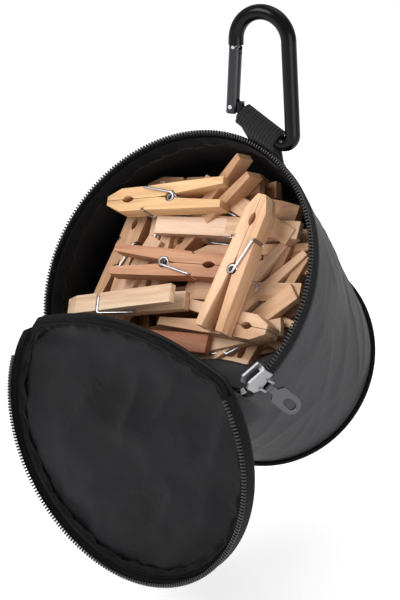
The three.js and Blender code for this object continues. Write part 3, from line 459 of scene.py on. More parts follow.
def teeth_piece(name, place, from_, to, low, high, surface):
    """A row of moulded teeth: each is a short bar across the tape, drawn in at both ends."""
    points = []
    count = int(math.radians(to - from_) * MOUTH_RADIUS / TOOTH_PITCH)
    middle = (low + high) / 2
    profile = []
    for k in range(TOOTH_SIDES):
        x, y = squared(2 * math.pi * k / TOOTH_SIDES)
        profile.append((x * TEETH_THICKNESS / 2, y * (high - low) / 2))
    tooth_faces = grid_faces(len(TOOTH_RINGS), TOOTH_SIDES, False, True)
    tooth_size = len(TOOTH_RINGS) * TOOTH_SIDES
    tooth_faces.append(tuple(range(TOOTH_SIDES - 1, -1, -1)))
    tooth_faces.append(tuple(range(tooth_size - TOOTH_SIDES, tooth_size)))
    faces = []
    for i in range(count):
        at = math.radians(from_ + (to - from_) * (i + 0.5) / count)
        out = Vector((math.cos(at), math.sin(at), 0))
        along = Vector((-math.sin(at), math.cos(at), 0))
        faces += [tuple(len(points) + k for k in face) for face in tooth_faces]
        for shift, scale in TOOTH_RINGS:
            for across, rise in profile:
                local = out * (MOUTH_RADIUS + across * scale) + along * (shift * TOOTH_WIDTH)
                local.z = middle + rise * scale
                points.append(place @ local)
    return mesh_piece(name, points, faces, surface)


# Moulded plastic: each tooth gives a small glint. Its grain of 0.35 mm only softens them.
tooth_plastic, tooth_shader = material("black_zip_tooth_plastic", 0.25)
tooth_at = node(tooth_plastic, "ShaderNodeTexCoord").outputs["Object"]
tooth_noise = node(tooth_plastic, "ShaderNodeTexNoise", [("Vector", tooth_at)], Scale=per(0.35))
link(tooth_plastic, tones(tooth_plastic, tooth_noise.outputs["Fac"], "#0b0a0c", "#141316"),
     tooth_shader.inputs["Base Color"])
link(tooth_plastic, node(tooth_plastic, "ShaderNodeMapRange", [("Value", tooth_noise.outputs["Fac"])],
                         To_Min=0.2, To_Max=0.38).outputs["Result"], tooth_shader.inputs["Roughness"])

teeth_foot = GAP / 2 + TEETH_HEIGHT
tape_foot = teeth_foot + GAP + TAPE_WIDTH
half_tape = TAPE / 2
tape_end = RIM - TAPE_SEWN
tape_top = -teeth_foot + TEETH_GRIP
tape_profile = [
    (-half_tape, tape_end), (half_tape - TAPE_THINNED, tape_end), (half_tape, -tape_foot),
    (half_tape, tape_top), (-half_tape, tape_top), (-half_tape, -tape_foot),
]
bag_tape = strip_piece("bag_zip_tape_cloth", bag_place, ZIP_START - TAPE_RUN_ON, ZIP_END + TAPE_RUN_ON,
                       tape_profile, tape_cloth, TAPE_WAVER)
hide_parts("bag_zip_tape")
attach(bag_tape, "bag")
bag_teeth = teeth_piece("bag_zip_tooth_row", bag_place, ZIP_START, ZIP_END, -teeth_foot, -GAP / 2,
                        tooth_plastic)
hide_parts("bag_zip_teeth")
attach(bag_teeth, "bag")

PUCKER_ROWS = 5
PUCKER_LIFT = 0.9
PUCKER_UNEVEN = 0.35
ALLOWANCE_CLOTH = 0.5
ALLOWANCE_INSET = 1.6


def pucker_strip(name, place, outline, edge, width, height, surface, flat):
    """A strip of gathered cloth along an outline: one edge is sewn, the other waves. All in millimetres."""
    count = len(outline)
    points = []
    middle = Vector((0, 0))
    for p in outline:
        middle += p / count
    for row in range(PUCKER_ROWS + 1):
        share = row / PUCKER_ROWS
        for i, p in enumerate(outline):
            inward = (middle - p).normalized()
            broad = noise.noise(Vector((i * 0.33, 1.7, edge)))
            narrow = noise.noise(Vector((i * 0.9, 8.2, edge)))
            wave = broad + 0.5 * narrow
            reach = width * share * (1 + PUCKER_UNEVEN * wave)
            lift = PUCKER_LIFT * share * math.sin(i * 0.75 + 2.0 * wave)
            if flat:
                at = p + inward * (edge + reach)
                points.append(place @ Vector((at.x, at.y, height + lift - 0.3 * share)))
            else:
                at = p + inward * (edge + 0.8 * share + lift * 0.7)
                points.append(place @ Vector((at.x, at.y, height - reach)))
    made = mesh_piece(name, points, grid_faces(PUCKER_ROWS + 1, count, False, True), surface)
    cloth = made.modifiers.new("cloth", "SOLIDIFY")
    cloth.thickness = ALLOWANCE_CLOTH * MM
    return made


allowance_line = mouth_outline(-ALLOWANCE_INSET, arc_steps=190, corner_steps=6, straight_steps=40)
allowance = pucker_strip("mouth_seam_allowance", bag_place, allowance_line, edge=0.6, width=9.0, height=-4.0,
                         surface=tape_cloth, flat=False)
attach(allowance, "bag")

# Corner lining: a slack edge of the coated nylon at the mouth's right corner, where the wall turns from round
# to straight. It is caught in the same seam as the wall and hangs a little way into the mouth.
CORNER_LEFT = 14.0
CORNER_TO = -12.0
CORNER_REACH = 17.0
CORNER_WAY = Vector((-0.6, 0.8))
CORNER_ROWS = 10
CORNER_INSET = 2.2
CORNER_DROP = 4.0
CORNER_SLACK = 1.4
corner_edge = []
for i in range(16):
    x = CORNER_LEFT + (corner_x - CORNER_LEFT) * i / 16
    corner_edge.append(Vector((x, CORNER_INSET - HINGE_OFFSET)))
corner_edge += [mouth_point(-90 + (ZIP_START + 90) * i / 6, -CORNER_INSET) for i in range(6)]
corner_edge += [mouth_point(ZIP_START + (CORNER_TO - ZIP_START) * i / 12, -CORNER_INSET) for i in range(13)]
corner_points = []
for row in range(CORNER_ROWS + 1):
    share = row / CORNER_ROWS
    for i, edge_point in enumerate(corner_edge):
        run = i / (len(corner_edge) - 1)
        at = edge_point + CORNER_WAY * (CORNER_REACH * share * math.sin(math.pi * run) ** 0.7)
        slack = CORNER_SLACK * share * noise.noise(Vector((run * 4, share * 2, 6.0)))
        height = RIM - TAPE_SEWN - CORNER_DROP * share + slack
        corner_points.append(bag_place @ Vector((at.x, at.y, height)))
corner_faces = grid_faces(CORNER_ROWS + 1, len(corner_edge))
corner = mesh_piece("corner_lining_cloth", corner_points, corner_faces, lining)
corner_thick = corner.modifiers.new("cloth", "SOLIDIFY")
corner_thick.thickness = ALLOWANCE_CLOTH * MM
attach(corner, "bag")

# Hinge lip: the strip of the wall's nylon that stands up past the rim along the mouth's straight side. The
# lid is sewn to its top, so that it bends there.
LID_PANEL = 1.5
LIP_END_TOP = 4.3
LIP_FULL = 51.0
LIP_EASE = 4.0
LIP_BELOW_AXIS = 0.55
LIP_FOOT = 0.2
LIP_BULGE = 0.5
LIP_WAVER = 0.3
LIP_STEPS = 60
LIP_ROWS = 8
hinge_height = tape_foot + GAP + LID_PANEL / 2
lip_top = hinge_height - LIP_BELOW_AXIS
lip_foot = RIM + LIP_FOOT
lip_points = []
for i in range(LIP_STEPS + 1):
    x = -corner_x + 2 * corner_x * i / LIP_STEPS
    top = LIP_END_TOP + (lip_top - LIP_END_TOP) * smooth_step((LIP_FULL - abs(x)) / LIP_EASE)
    for j in range(LIP_ROWS + 1):
        rise = j / LIP_ROWS
        waver = LIP_WAVER * (1 - rise) * noise.noise(Vector((x * 0.08, rise, 0)))
        bulge = LIP_BULGE * math.sin(rise * math.pi) + waver
        height = lip_foot + (top - lip_foot) * rise
        lip_points.append(bag_place @ Vector((x, -HINGE_OFFSET - bulge, height)))
lip = mesh_piece("hinge_lip_cloth", lip_points, grid_faces(LIP_STEPS + 1, LIP_ROWS + 1), nylon)
lip_thick = lip.modifiers.new("cloth", "SOLIDIFY")
lip_thick.thickness = WALL_CLOTH * MM
lip_thick.offset = 0
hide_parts("hinge_lip")
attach(lip, "bag")

# Lid: a round panel of the same nylon, hanging open with its inside to the front. Its slack cloth arches over
# the hinge. A zip band stands round it, with a gathered seam allowance and a thin piping inside.
LID_OPEN = math.radians(215)
GUSSET_RISE = 18.0
GUSSET_ARCH = 22.0
GUSSET_FROM = 20.0
GUSSET_EASE = 30.0
LID_OVERLAP = 0.5
LID_MIDDLE = Vector((0, -4))
LID_RINGS = 26
LID_STEPS = 160
LID_CLOTH = 1.0
LID_SLACK = 2.6
LID_CREASE = 1.8
LID_CREASE_SHARP = 8
LID_CRINKLE = 0.35
LID_EDGE_HOLDS = 0.12
LID_HINGE_HOLDS = 10.0
LID_TEETH_END = 200
LID_BAND_SEWN = 0.6
LID_CORD_RADIUS = 0.9
LID_CORD_INSET = 4.5
LID_CORD_BELOW = 2.6
lid_turn = Matrix.Translation((0, -HINGE_OFFSET, hinge_height)) @ Matrix.Rotation(LID_OPEN, 4, "X")
lid_place = bag_place @ lid_turn @ Matrix.Translation((0, HINGE_OFFSET, -hinge_height))


def lid_outline(inset, steps):
    """The lid's outline: the mouth's circle, closed by the low arch of slack cloth past the hinge."""
    points = []
    for i in range(steps):
        turn = 2 * math.pi * i / steps
        circle = Vector((math.cos(turn), math.sin(turn))) * (MOUTH_RADIUS + LID_OVERLAP - inset)
        flat_line = -HINGE_OFFSET - GUSSET_RISE + inset
        arch = flat_line + GUSSET_ARCH * (circle.x / MOUTH_RADIUS) ** 2
        if circle.y < 0:
            over = smooth_step((-circle.y - GUSSET_FROM) / GUSSET_EASE)
            circle.y = circle.y + (max(circle.y, arch) - circle.y) * over
        points.append(circle)
    return points


edge_line = lid_outline(0, LID_STEPS)
lid_points = []
for ring in range(LID_RINGS + 1):
    share = ring / LID_RINGS
    for p in edge_line:
        at = LID_MIDDLE.lerp(p, share)
        slack = LID_SLACK * noise.noise(Vector((at.x * 0.018, at.y * 0.03, 0.4)))
        slanted = Vector((at.x * 0.025 + at.y * 0.02, at.y * 0.012 - at.x * 0.01, 5.0))
        crease = LID_CREASE * (1 - abs(noise.noise(slanted))) ** LID_CREASE_SHARP
        crinkle = LID_CRINKLE * noise.noise(Vector((at.x * 0.09, at.y * 0.07, 2.0)))
        held = smooth_step((1 - share) / LID_EDGE_HOLDS)
        held *= smooth_step(abs(at.y + HINGE_OFFSET) / LID_HINGE_HOLDS)
        lift = (slack + crease + crinkle) * held
        lid_points.append(lid_place @ Vector((at.x, at.y, hinge_height - lift)))
# The coated side of the same cloth: darker than the outside, with small crinkles that catch the light.
# Its darker tone is its own. Its broad paler patches are painted sheen: they stand in for the soft light on
# the satin.
lid_nylon_painted_sheen = nylon_cloth("lid_nylon_with_painted_sheen", "#100f11", "#222123", 0.06, 0.4, 0.16)
lid_faces = grid_faces(LID_RINGS + 1, LID_STEPS, False, True)
lid_panel = mesh_piece("lid_cloth", lid_points, lid_faces, lid_nylon_painted_sheen)
lid_weld = lid_panel.modifiers.new("middle", "WELD")
lid_weld.merge_threshold = MIDDLE_WELD * MM
lid_thick = lid_panel.modifiers.new("cloth", "SOLIDIFY")
lid_thick.thickness = LID_CLOTH * MM
lid_thick.offset = 0
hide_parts("lid_panel", "hinge_gusset")
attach(lid_panel, "lid")

band_low = teeth_foot + GAP
band_high = tape_foot + LID_BAND_SEWN
band_profile = [
    (-half_tape, band_low), (half_tape, band_low), (half_tape, band_high), (-half_tape, band_high),
]
lid_band = strip_piece("lid_zip_tape_cloth", lid_place, ZIP_START, ZIP_END, band_profile, tape_cloth,
                       TAPE_WAVER)
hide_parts("lid_zip_tape")
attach(lid_band, "lid")
lid_teeth = teeth_piece("lid_zip_tooth_row", lid_place, ZIP_START, LID_TEETH_END, GAP / 2, teeth_foot,
                        tooth_plastic)
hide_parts("lid_zip_teeth")
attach(lid_teeth, "lid")
lid_allowance = pucker_strip("lid_seam_allowance", lid_place, lid_outline(1.2, 220), edge=0.4, width=6.0,
                             height=hinge_height - 2.2, surface=tape_cloth, flat=True)
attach(lid_allowance, "lid")
lid_cord_line = []
for p in lid_outline(LID_CORD_INSET, 200):
    lid_cord_line.append(lid_place @ Vector((p.x, p.y, hinge_height - LID_CORD_BELOW)))
lid_cord = tube_piece("lid_piping_cord", lid_cord_line, LID_CORD_RADIUS * MM, 8, tape_cloth, closed=True)
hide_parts("lid_piping")
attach(lid_cord, "lid")

# Webbing loop: a ribbed strap of black polyester. It is folded round the carabiner's bar, and both its ends
# are sewn flat to the wall, one over the other.
ROD = 8.0
BAR_SLOPE = math.radians(30)
BAR_LENGTH = 41.0
SPINE_FOOT = Vector((19, 0, -67))
CARABINER_YAW = math.radians(10)
CORNER_BEND = 5.0
BAR_START = 5.4
WEBBING_WIDTH = 24.0
WEBBING = 1.8
WEBBING_DRAWN = 1.5
LOOP_TAIL = 6.0
LOOP_ROOM = 0.4
LOOP_FROM = 25
LOOP_SWEEP = 310
OUTER_TAIL = 2.2 * WEBBING
INNER_TAIL = 1.1 * WEBBING
BEND_HALF_ANGLE = math.radians(29)
STRAP_COLUMNS = 26
TAIL_ROWS = 9
LOOP_ROWS = 25
carabiner_place = Matrix.Rotation(CARABINER_YAW, 4, "Z") @ Matrix.Scale(MM, 4)
bar_way = Vector((math.cos(BAR_SLOPE), 0, -math.sin(BAR_SLOPE)))
pivot = SPINE_FOOT - bar_way * BAR_LENGTH
to_bag = bag_place.inverted() @ carabiner_place
bend_start = BAR_LENGTH - CORNER_BEND / math.tan(BEND_HALF_ANGLE)
bar_at = to_bag @ (pivot + bar_way * ((BAR_START + bend_start) / 2))
bar_along = (to_bag.to_3x3() @ bar_way).normalized()
outward = Vector((math.cos(LOOP_ANGLE), math.sin(LOOP_ANGLE), 0))
sewn = outward * (MOUTH_RADIUS + WALL / 2 + WEBBING)
tail_way = Vector((sewn.x, sewn.y, RIM)) - bar_at
tail_way = (tail_way - bar_along * tail_way.dot(bar_along)).normalized()
loop_through = bar_along.cross(tail_way)
loop_reach = ROD / 2 + LOOP_ROOM + WEBBING / 2
if outward.dot(loop_through) < 0:
    loop_through = -loop_through
strap_points = []


def strap_tail(out, down):
    """One row of the strap's sewn end, which lies round the wall, by how far out and how far down it is."""
    share = down / (BASE_CENTRE - Vector((0, 0, RIM))).length
    for j in range(STRAP_COLUMNS + 1):
        turn = LOOP_ANGLE - (j / STRAP_COLUMNS - 0.5) * WEBBING_WIDTH / MOUTH_RADIUS
        rim_point = Vector((math.cos(turn), math.sin(turn))) * (MOUTH_RADIUS + WALL / 2)
        strap_points.append(bag_place @ wall_point(rim_point, share, out))


for row in range(TAIL_ROWS):
    strap_tail(OUTER_TAIL, LOOP_TAIL * (1 - row / (TAIL_ROWS - 1)))
for row in range(LOOP_ROWS):
    turn = math.radians(LOOP_FROM + LOOP_SWEEP * row / (LOOP_ROWS - 1))
    at = bar_at + tail_way * (loop_reach * math.cos(turn)) + loop_through * (loop_reach * math.sin(turn))
    for j in range(STRAP_COLUMNS + 1):
        strap_points.append(bag_place @ (at + bar_along * ((j / STRAP_COLUMNS - 0.5) * WEBBING_WIDTH)))
for row in range(TAIL_ROWS):
    strap_tail(INNER_TAIL, LOOP_TAIL * row / (TAIL_ROWS - 1))
# Woven webbing: a dull black whose ribs run along the strap. Its threads are drawn at 1.11 mm, so that they
# show.
webbing, webbing_shader = material("black_ribbed_webbing", 0.75)
webbing_at = node(webbing, "ShaderNodeTexCoord").outputs["Object"]
webbing_noise = node(webbing, "ShaderNodeTexNoise", [("Vector", webbing_at)], Scale=per(1.11))
webbing_rib = node(webbing, "ShaderNodeAttribute", attribute_name="rib")
link(webbing, tones(webbing, webbing_noise.outputs["Fac"], "#080809", "#121113"),
     webbing_shader.inputs["Base Color"])
webbing_bump = node(webbing, "ShaderNodeBump", [("Height", webbing_rib.outputs["Fac"])], Strength=0.9,
                    Distance=0.0008)
link(webbing, webbing_bump.outputs["Normal"], webbing_shader.inputs["Normal"])
webbing_shader.inputs["Sheen Weight"].default_value = 0.08
webbing_shader.inputs["Specular IOR Level"].default_value = 0.3
strap_faces = grid_faces(2 * TAIL_ROWS + LOOP_ROWS, STRAP_COLUMNS + 1)
strap = mesh_piece("webbing_loop", strap_points, strap_faces, webbing)
rib = strap.data.attributes.new("rib", "FLOAT", "POINT")
rib.data.foreach_set("value", [float((k % (STRAP_COLUMNS + 1)) % 2) for k in range(len(strap_points))])
strap_smooth = strap.modifiers.new("soft", "SUBSURF")
strap_smooth.levels = 1
strap_smooth.render_levels = 2
strap_thick = strap.modifiers.new("strap", "SOLIDIFY")
strap_thick.thickness = WEBBING_DRAWN * MM
strap_thick.offset = 0
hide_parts("hanging_loop")
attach(strap, "bag")

# Carabiner: an aluminium rod, bent to a hook with a round crown and a tight lower corner, and anodised gloss
# black. The bag's loop hangs on its sloping bar.
CROWN_RADIUS = 15.0
CROWN_STEPS = 40
NOSE_DROP = 3.0
NOSE_AT = 1.0
SPINE_STEPS = 12
BEND_STEPS = 14
BAR_STEPS = 12
crown_height = ROD / 2 - CROWN_RADIUS
rod_line = [Vector((-CROWN_RADIUS, 0, crown_height - NOSE_DROP))]
for step in range(CROWN_STEPS + 1):
    turn = math.pi * (1 - step / CROWN_STEPS)
    rod_line.append(Vector((CROWN_RADIUS * math.cos(turn), 0, crown_height + CROWN_RADIUS * math.sin(turn))))
spine_way = (SPINE_FOOT - rod_line[-1]).normalized()
spine_top = rod_line[-1]
back = -spine_way
side_way = -bar_way
half_angle = back.angle(side_way) / 2
bend_middle = (back + side_way).normalized()
bend_centre = SPINE_FOOT + bend_middle * (CORNER_BEND / math.sin(half_angle))
bend_across = (side_way - back).normalized()
spine_end = SPINE_FOOT + back * (CORNER_BEND / math.tan(half_angle))
for step in range(1, SPINE_STEPS):
    rod_line.append(spine_top.lerp(spine_end, step / SPINE_STEPS))
sweep = math.pi / 2 - half_angle
for step in range(BEND_STEPS + 1):
    turn = -sweep + 2 * sweep * step / BEND_STEPS
    round_bend = bend_across * math.sin(turn) - bend_middle * math.cos(turn)
    rod_line.append(bend_centre + round_bend * CORNER_BEND)
last = rod_line[-1]
for step in range(1, BAR_STEPS + 1):
    rod_line.append(last.lerp(pivot + bar_way * BAR_START, step / BAR_STEPS))
# Gloss black anodising: nearly no colour of its own, with narrow highlights that a grain of 0.5 mm softens.
anodised, anodised_shader = material("gloss_black_anodised_aluminium", 0.18)
anodised_at = node(anodised, "ShaderNodeTexCoord").outputs["Object"]
anodised_noise = node(anodised, "ShaderNodeTexNoise", [("Vector", anodised_at)], Scale=per(0.5), Detail=5.0)
link(anodised, tones(anodised, anodised_noise.outputs["Fac"], "#020203", "#050506"),
     anodised_shader.inputs["Base Color"])
link(anodised, node(anodised, "ShaderNodeMapRange", [("Value", anodised_noise.outputs["Fac"])],
                    To_Min=0.14, To_Max=0.26).outputs["Result"], anodised_shader.inputs["Roughness"])
anodised_shader.inputs["Specular IOR Level"].default_value = 0.13
anodised_shader.inputs["Coat Weight"].default_value = 0.05
anodised_shader.inputs["Coat Roughness"].default_value = 0.08
rod = tube_piece("carabiner_rod", [carabiner_place @ p for p in rod_line], ROD / 2 * MM, 28, anodised)
rod.data.set_sharp_from_angle(angle=math.radians(50))
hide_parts("carabiner_frame")
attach(rod, "carabiner")

# Flat ends of the rod: its nose and its pivot end are pressed flat to go into the gate's slots. The nose has
# a notch for the gate's pin, and the pivot end is round about the rivet.
FLAT_END = 3.0
FLAT_END_WIDTH = 6.0
FLAT_END_ROOT = 2.0
PIVOT_STEPS = 12
LATCH_PIN = 2.0
RUN_GAP = 0.4
nose = Vector((-CROWN_RADIUS, 0, crown_height - NOSE_AT))
gate_way = (nose - pivot).normalized()
gate_side = Vector((gate_way.z, 0, -gate_way.x))
half_width = FLAT_END_WIDTH / 2
pin_room = LATCH_PIN / 2 + RUN_GAP
pin_at = -half_width
nose_outline = [
    (-half_width, -FLAT_END_WIDTH), (half_width, -FLAT_END_WIDTH), (half_width, pin_at - pin_room),
    (-pin_room, pin_at - pin_room), (-pin_room, pin_at + pin_room), (half_width, pin_at + pin_room),
    (half_width, FLAT_END_ROOT), (-half_width, FLAT_END_ROOT),
]
pivot_outline = [(FLAT_END_WIDTH, half_width)]
for step in range(PIVOT_STEPS + 1):
    turn = math.pi * (0.5 + step / PIVOT_STEPS)
    pivot_outline.append((half_width * math.cos(turn), half_width * math.sin(turn)))
pivot_outline.append((FLAT_END_WIDTH, -half_width))
for name, outline, at in (("nose_flat_end", nose_outline, nose), ("pivot_flat_end", pivot_outline, pivot)):
    count = len(outline)
    end_points = []
    for through in (-FLAT_END / 2, FLAT_END / 2):
        for side, along in outline:
            local = at + gate_side * side + gate_way * along + Vector((0, through, 0))
            end_points.append(carabiner_place @ local)
    end_faces = [tuple(range(count)), tuple(range(2 * count - 1, count - 1, -1))]
    for k in range(count):
        m = (k + 1) % count
        end_faces.append((k, count + k, count + m, m))
    flat_end = mesh_piece(name, end_points, end_faces, anodised, smooth=False)
    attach(flat_end, "carabiner")

# Gate: a slotted bar of grey aluminium on a steel rivet, with a steel pin that goes into the nose. A plunger
# and a spring inside it push it shut.
NODE_WELD = 0.02
# Drawn steel: bright grey with a soft highlight. Its grain of 0.1 mm is too fine to see by itself.
steel, steel_shader = material("drawn_steel_wire", 0.3, 1.0)
steel_at = node(steel, "ShaderNodeTexCoord").outputs["Object"]
steel_noise = node(steel, "ShaderNodeTexNoise", [("Vector", steel_at)], Scale=per(0.1), Detail=4.0)
link(steel, tones(steel, steel_noise.outputs["Fac"], "#a9a9b0", "#d4d4da"),
     steel_shader.inputs["Base Color"])
link(steel, node(steel, "ShaderNodeMapRange", [("Value", steel_noise.outputs["Fac"])],
                 To_Min=0.22, To_Max=0.42).outputs["Result"], steel_shader.inputs["Roughness"])
# Grey anodising: a dark metal with one clear streak of light along the bar, softened by a grain of 0.15 mm.
gate_metal, gate_shader = material("grey_anodised_gate", 0.24, 0.8)
gate_at = node(gate_metal, "ShaderNodeTexCoord").outputs["Object"]
gate_noise = node(gate_metal, "ShaderNodeTexNoise", [("Vector", gate_at)], Scale=per(0.15), Detail=4.0)
link(gate_metal, tones(gate_metal, gate_noise.outputs["Fac"], "#2a2a2d", "#3a3a3e"),
     gate_shader.inputs["Base Color"])
link(gate_metal, node(gate_metal, "ShaderNodeMapRange", [("Value", gate_noise.outputs["Fac"])],
                      To_Min=0.22, To_Max=0.36).outputs["Result"], gate_shader.inputs["Roughness"])


def finish_node(name, surface, width, angle=35):
    """A CAD node keeps its shape, gets rounded edges and a new material."""
    piece = nodes[name]
    piece.data.materials.clear()
    piece.data.materials.append(surface)
    welded = piece.modifiers.new("joined", "WELD")
    welded.merge_threshold = NODE_WELD * MM
    rounded = piece.modifiers.new("edges", "BEVEL")
    rounded.width = width * MM
    rounded.segments = 2
    rounded.limit_method = "ANGLE"
    rounded.angle_limit = math.radians(angle)
    rounded.harden_normals = True


finish_node("carabiner_gate", gate_metal, width=0.35)
for name in ("gate_rivet", "gate_pin", "gate_plunger", "gate_spring"):
    finish_node(name, steel, width=0.15)

# Zip slider, its pull tab and the end stops: die-cast zinc. The slider and the stops are pale grey and the
# tab, which hangs from the slider's bridge, is dark grey.
CAST_ROUNDING = 0.3
# Pale cast zinc: satin, half way between paint and metal, with a grain of 0.05 mm that dulls it.
zinc, zinc_shader = material("pale_grey_die_cast_zinc", 0.38, 0.55)
zinc_at = node(zinc, "ShaderNodeTexCoord").outputs["Object"]
zinc_noise = node(zinc, "ShaderNodeTexNoise", [("Vector", zinc_at)], Scale=per(0.05), Detail=4.0)
link(zinc, tones(zinc, zinc_noise.outputs["Fac"], "#7c7c7f", "#9a9a9d"), zinc_shader.inputs["Base Color"])
zinc_bump = node(zinc, "ShaderNodeBump", [("Height", zinc_noise.outputs["Fac"])], Strength=0.1,
                 Distance=0.0003)
link(zinc, zinc_bump.outputs["Normal"], zinc_shader.inputs["Normal"])
# Dark plated zinc: it mirrors the bright room, so that the tab stands out from the black cloth.
dark_zinc, dark_zinc_shader = material("dark_grey_die_cast_zinc", 0.3, 0.9)
dark_at = node(dark_zinc, "ShaderNodeTexCoord").outputs["Object"]
dark_zinc_noise = node(dark_zinc, "ShaderNodeTexNoise", [("Vector", dark_at)], Scale=per(0.05), Detail=4.0)
link(dark_zinc, tones(dark_zinc, dark_zinc_noise.outputs["Fac"], "#434346", "#58585b"),
     dark_zinc_shader.inputs["Base Color"])
for name in ("zip_slider", "zip_start_stop", "zip_end_stop"):
    finish_node(name, zinc, width=CAST_ROUNDING)
finish_node("pull_tab", dark_zinc, width=CAST_ROUNDING)

# Pegs: sawn beech and birch arms, each pair held by a steel spring. The grain runs along each arm, and every
# peg has its own tone, from pale cream to red brown. The pile is the rest of the heap below them.
WOODS = {
    "peg_01": ("#bf9a7a", "#dfc2a4"), "peg_02": ("#bd8e68", "#dfb793"), "peg_03": ("#bd8d5f", "#e2b987"),
    "peg_04": ("#9a6445", "#c18d69"), "peg_05": ("#b98c69", "#ddb897"), "peg_06": ("#a97b57", "#cfa57f"),
    "peg_07": ("#8e5939", "#b57d56"), "peg_08": ("#c09570", "#dfba99"), "peg_09": ("#7c462c", "#9f6545"),
    "peg_10": ("#d0ab8d", "#ebd1b9"), "peg_pile": ("#734c32", "#a97d57"),
}


def mesh_axes(pieces):
    """The middle and the long, middle and short axes of some node meshes, from how their points spread."""
    points = np.array([tuple(v.co) for piece in pieces for v in piece.data.vertices])
    centred = points - points.mean(0)
    _, _, axes = np.linalg.svd(centred, full_matrices=False)
    spans = [(points @ axis).max() - (points @ axis).min() for axis in axes]
    order = np.argsort(spans)[::-1]
    axes = [Vector(axes[k]) for k in order]
    middle = Vector((0, 0, 0))
    for axis in axes:
        along = points @ np.array(axis)
        middle += axis * float((along.max() + along.min()) / 2)
    return middle, axes


GRAIN_LONG = 33.3
GRAIN_FINE = 2.38


def wood(name, dark, pale, middle, axes, seed):
    """Bare sawn wood: dull, with long streaks and a slow change of tone along its first axis. The streaks are
    wider than real ones, so that they show."""
    made, shader = material(name, 0.6)
    at = node(made, "ShaderNodeTexCoord").outputs["Object"]
    moved = node(made, "ShaderNodeVectorMath", [(0, at)], operation="SUBTRACT")
    moved.inputs[1].default_value = middle
    parts = []
    for axis, scale in zip(axes, (per(GRAIN_LONG), per(GRAIN_FINE), per(GRAIN_FINE))):
        along = node(made, "ShaderNodeVectorMath", [(0, moved.outputs[0])], operation="DOT_PRODUCT")
        along.inputs[1].default_value = axis * scale
        parts.append(along.outputs["Value"])
    joined = node(made, "ShaderNodeCombineXYZ", [("X", parts[0]), ("Y", parts[1]), ("Z", parts[2])])
    shifted = node(made, "ShaderNodeVectorMath", [(0, joined.outputs[0])], operation="ADD")
    shifted.inputs[1].default_value = (seed * 3.7, seed * 5.1, seed * 1.3)
    grain = [("Vector", shifted.outputs[0])]
    streak = node(made, "ShaderNodeTexNoise", grain, Scale=0.9, Detail=6.0, Roughness=0.6)
    slow = node(made, "ShaderNodeTexNoise", grain, Scale=0.22, Detail=2.0)
    both = node(made, "ShaderNodeMath", [(0, streak.outputs["Fac"]), (1, slow.outputs["Fac"])],
                operation="ADD")
    share = node(made, "ShaderNodeMath", [(0, both.outputs[0])], operation="MULTIPLY")
    share.inputs[1].default_value = 0.5
    link(made, tones(made, share.outputs[0], dark, pale, 0.36, 0.62), shader.inputs["Base Color"])
    bump = node(made, "ShaderNodeBump", [("Height", streak.outputs["Fac"])], Strength=0.25, Distance=0.0004)
    link(made, bump.outputs["Normal"], shader.inputs["Normal"])
    return made


PEG_LENGTH = 75.0
PEG_WIDTH = 10.0
PEG_COIL_AT = 42.0
PEG_GROOVE_AT = 24.5
PEG_ARM = 6.8
PEG_GROOVE_DEPTH = 1.3
PEG_ENDS_AT = 30.0
SPRING_WIRE = 1.4
SPRING_RADIUS = 2.2
SPRING_TURNS = 3
SPRING_STEPS = 72
SPRING_ROOM = 0.4
SPRING_SEAT = 0.45
SPRING_TIP = 1.5
SPRING_BEND = 1.4


def spring_line():
    """The peg spring's wire in the peg's own axes, in millimetres from the peg's middle."""
    leg_y = PEG_ARM - PEG_GROOVE_DEPTH + SPRING_SEAT + SPRING_WIRE / 2
    side_z = PEG_WIDTH / 2 + SPRING_ROOM + SPRING_WIRE / 2
    tip_z = PEG_WIDTH / 2 - SPRING_TIP
    dx = PEG_GROOVE_AT - PEG_COIL_AT
    leave = math.atan2(leg_y, dx) - math.acos(SPRING_RADIUS / math.hypot(dx, leg_y))
    sweep = 2 * leave + 2 * math.pi * SPRING_TURNS
    shift = PEG_COIL_AT - PEG_LENGTH / 2
    leg_x = PEG_GROOVE_AT - PEG_LENGTH / 2
    coil = []
    for i in range(SPRING_STEPS + 1):
        share = i / SPRING_STEPS
        turn = leave - sweep * share
        x = shift + SPRING_RADIUS * math.cos(turn)
        coil.append(Vector((x, SPRING_RADIUS * math.sin(turn), side_z - 2 * side_z * share)))
    first = []
    for i in range(8):
        first.append(Vector((leg_x, leg_y, -tip_z + (side_z - SPRING_BEND + tip_z) * i / 7)))
    corner = Vector((leg_x, leg_y, side_z))
    to_coil = (coil[0] - corner).normalized()
    for i in range(1, 6):
        share = i / 6
        a = corner.lerp(first[7], 1 - share)
        b = corner.lerp(corner + to_coil * SPRING_BEND, share)
        first.append(a.lerp(b, share))
    first += [(corner + to_coil * SPRING_BEND).lerp(coil[0], i / 8) for i in range(8)]
    other = [Vector((p.x, -p.y, -p.z)) for p in reversed(first)]
    return first + coil + other


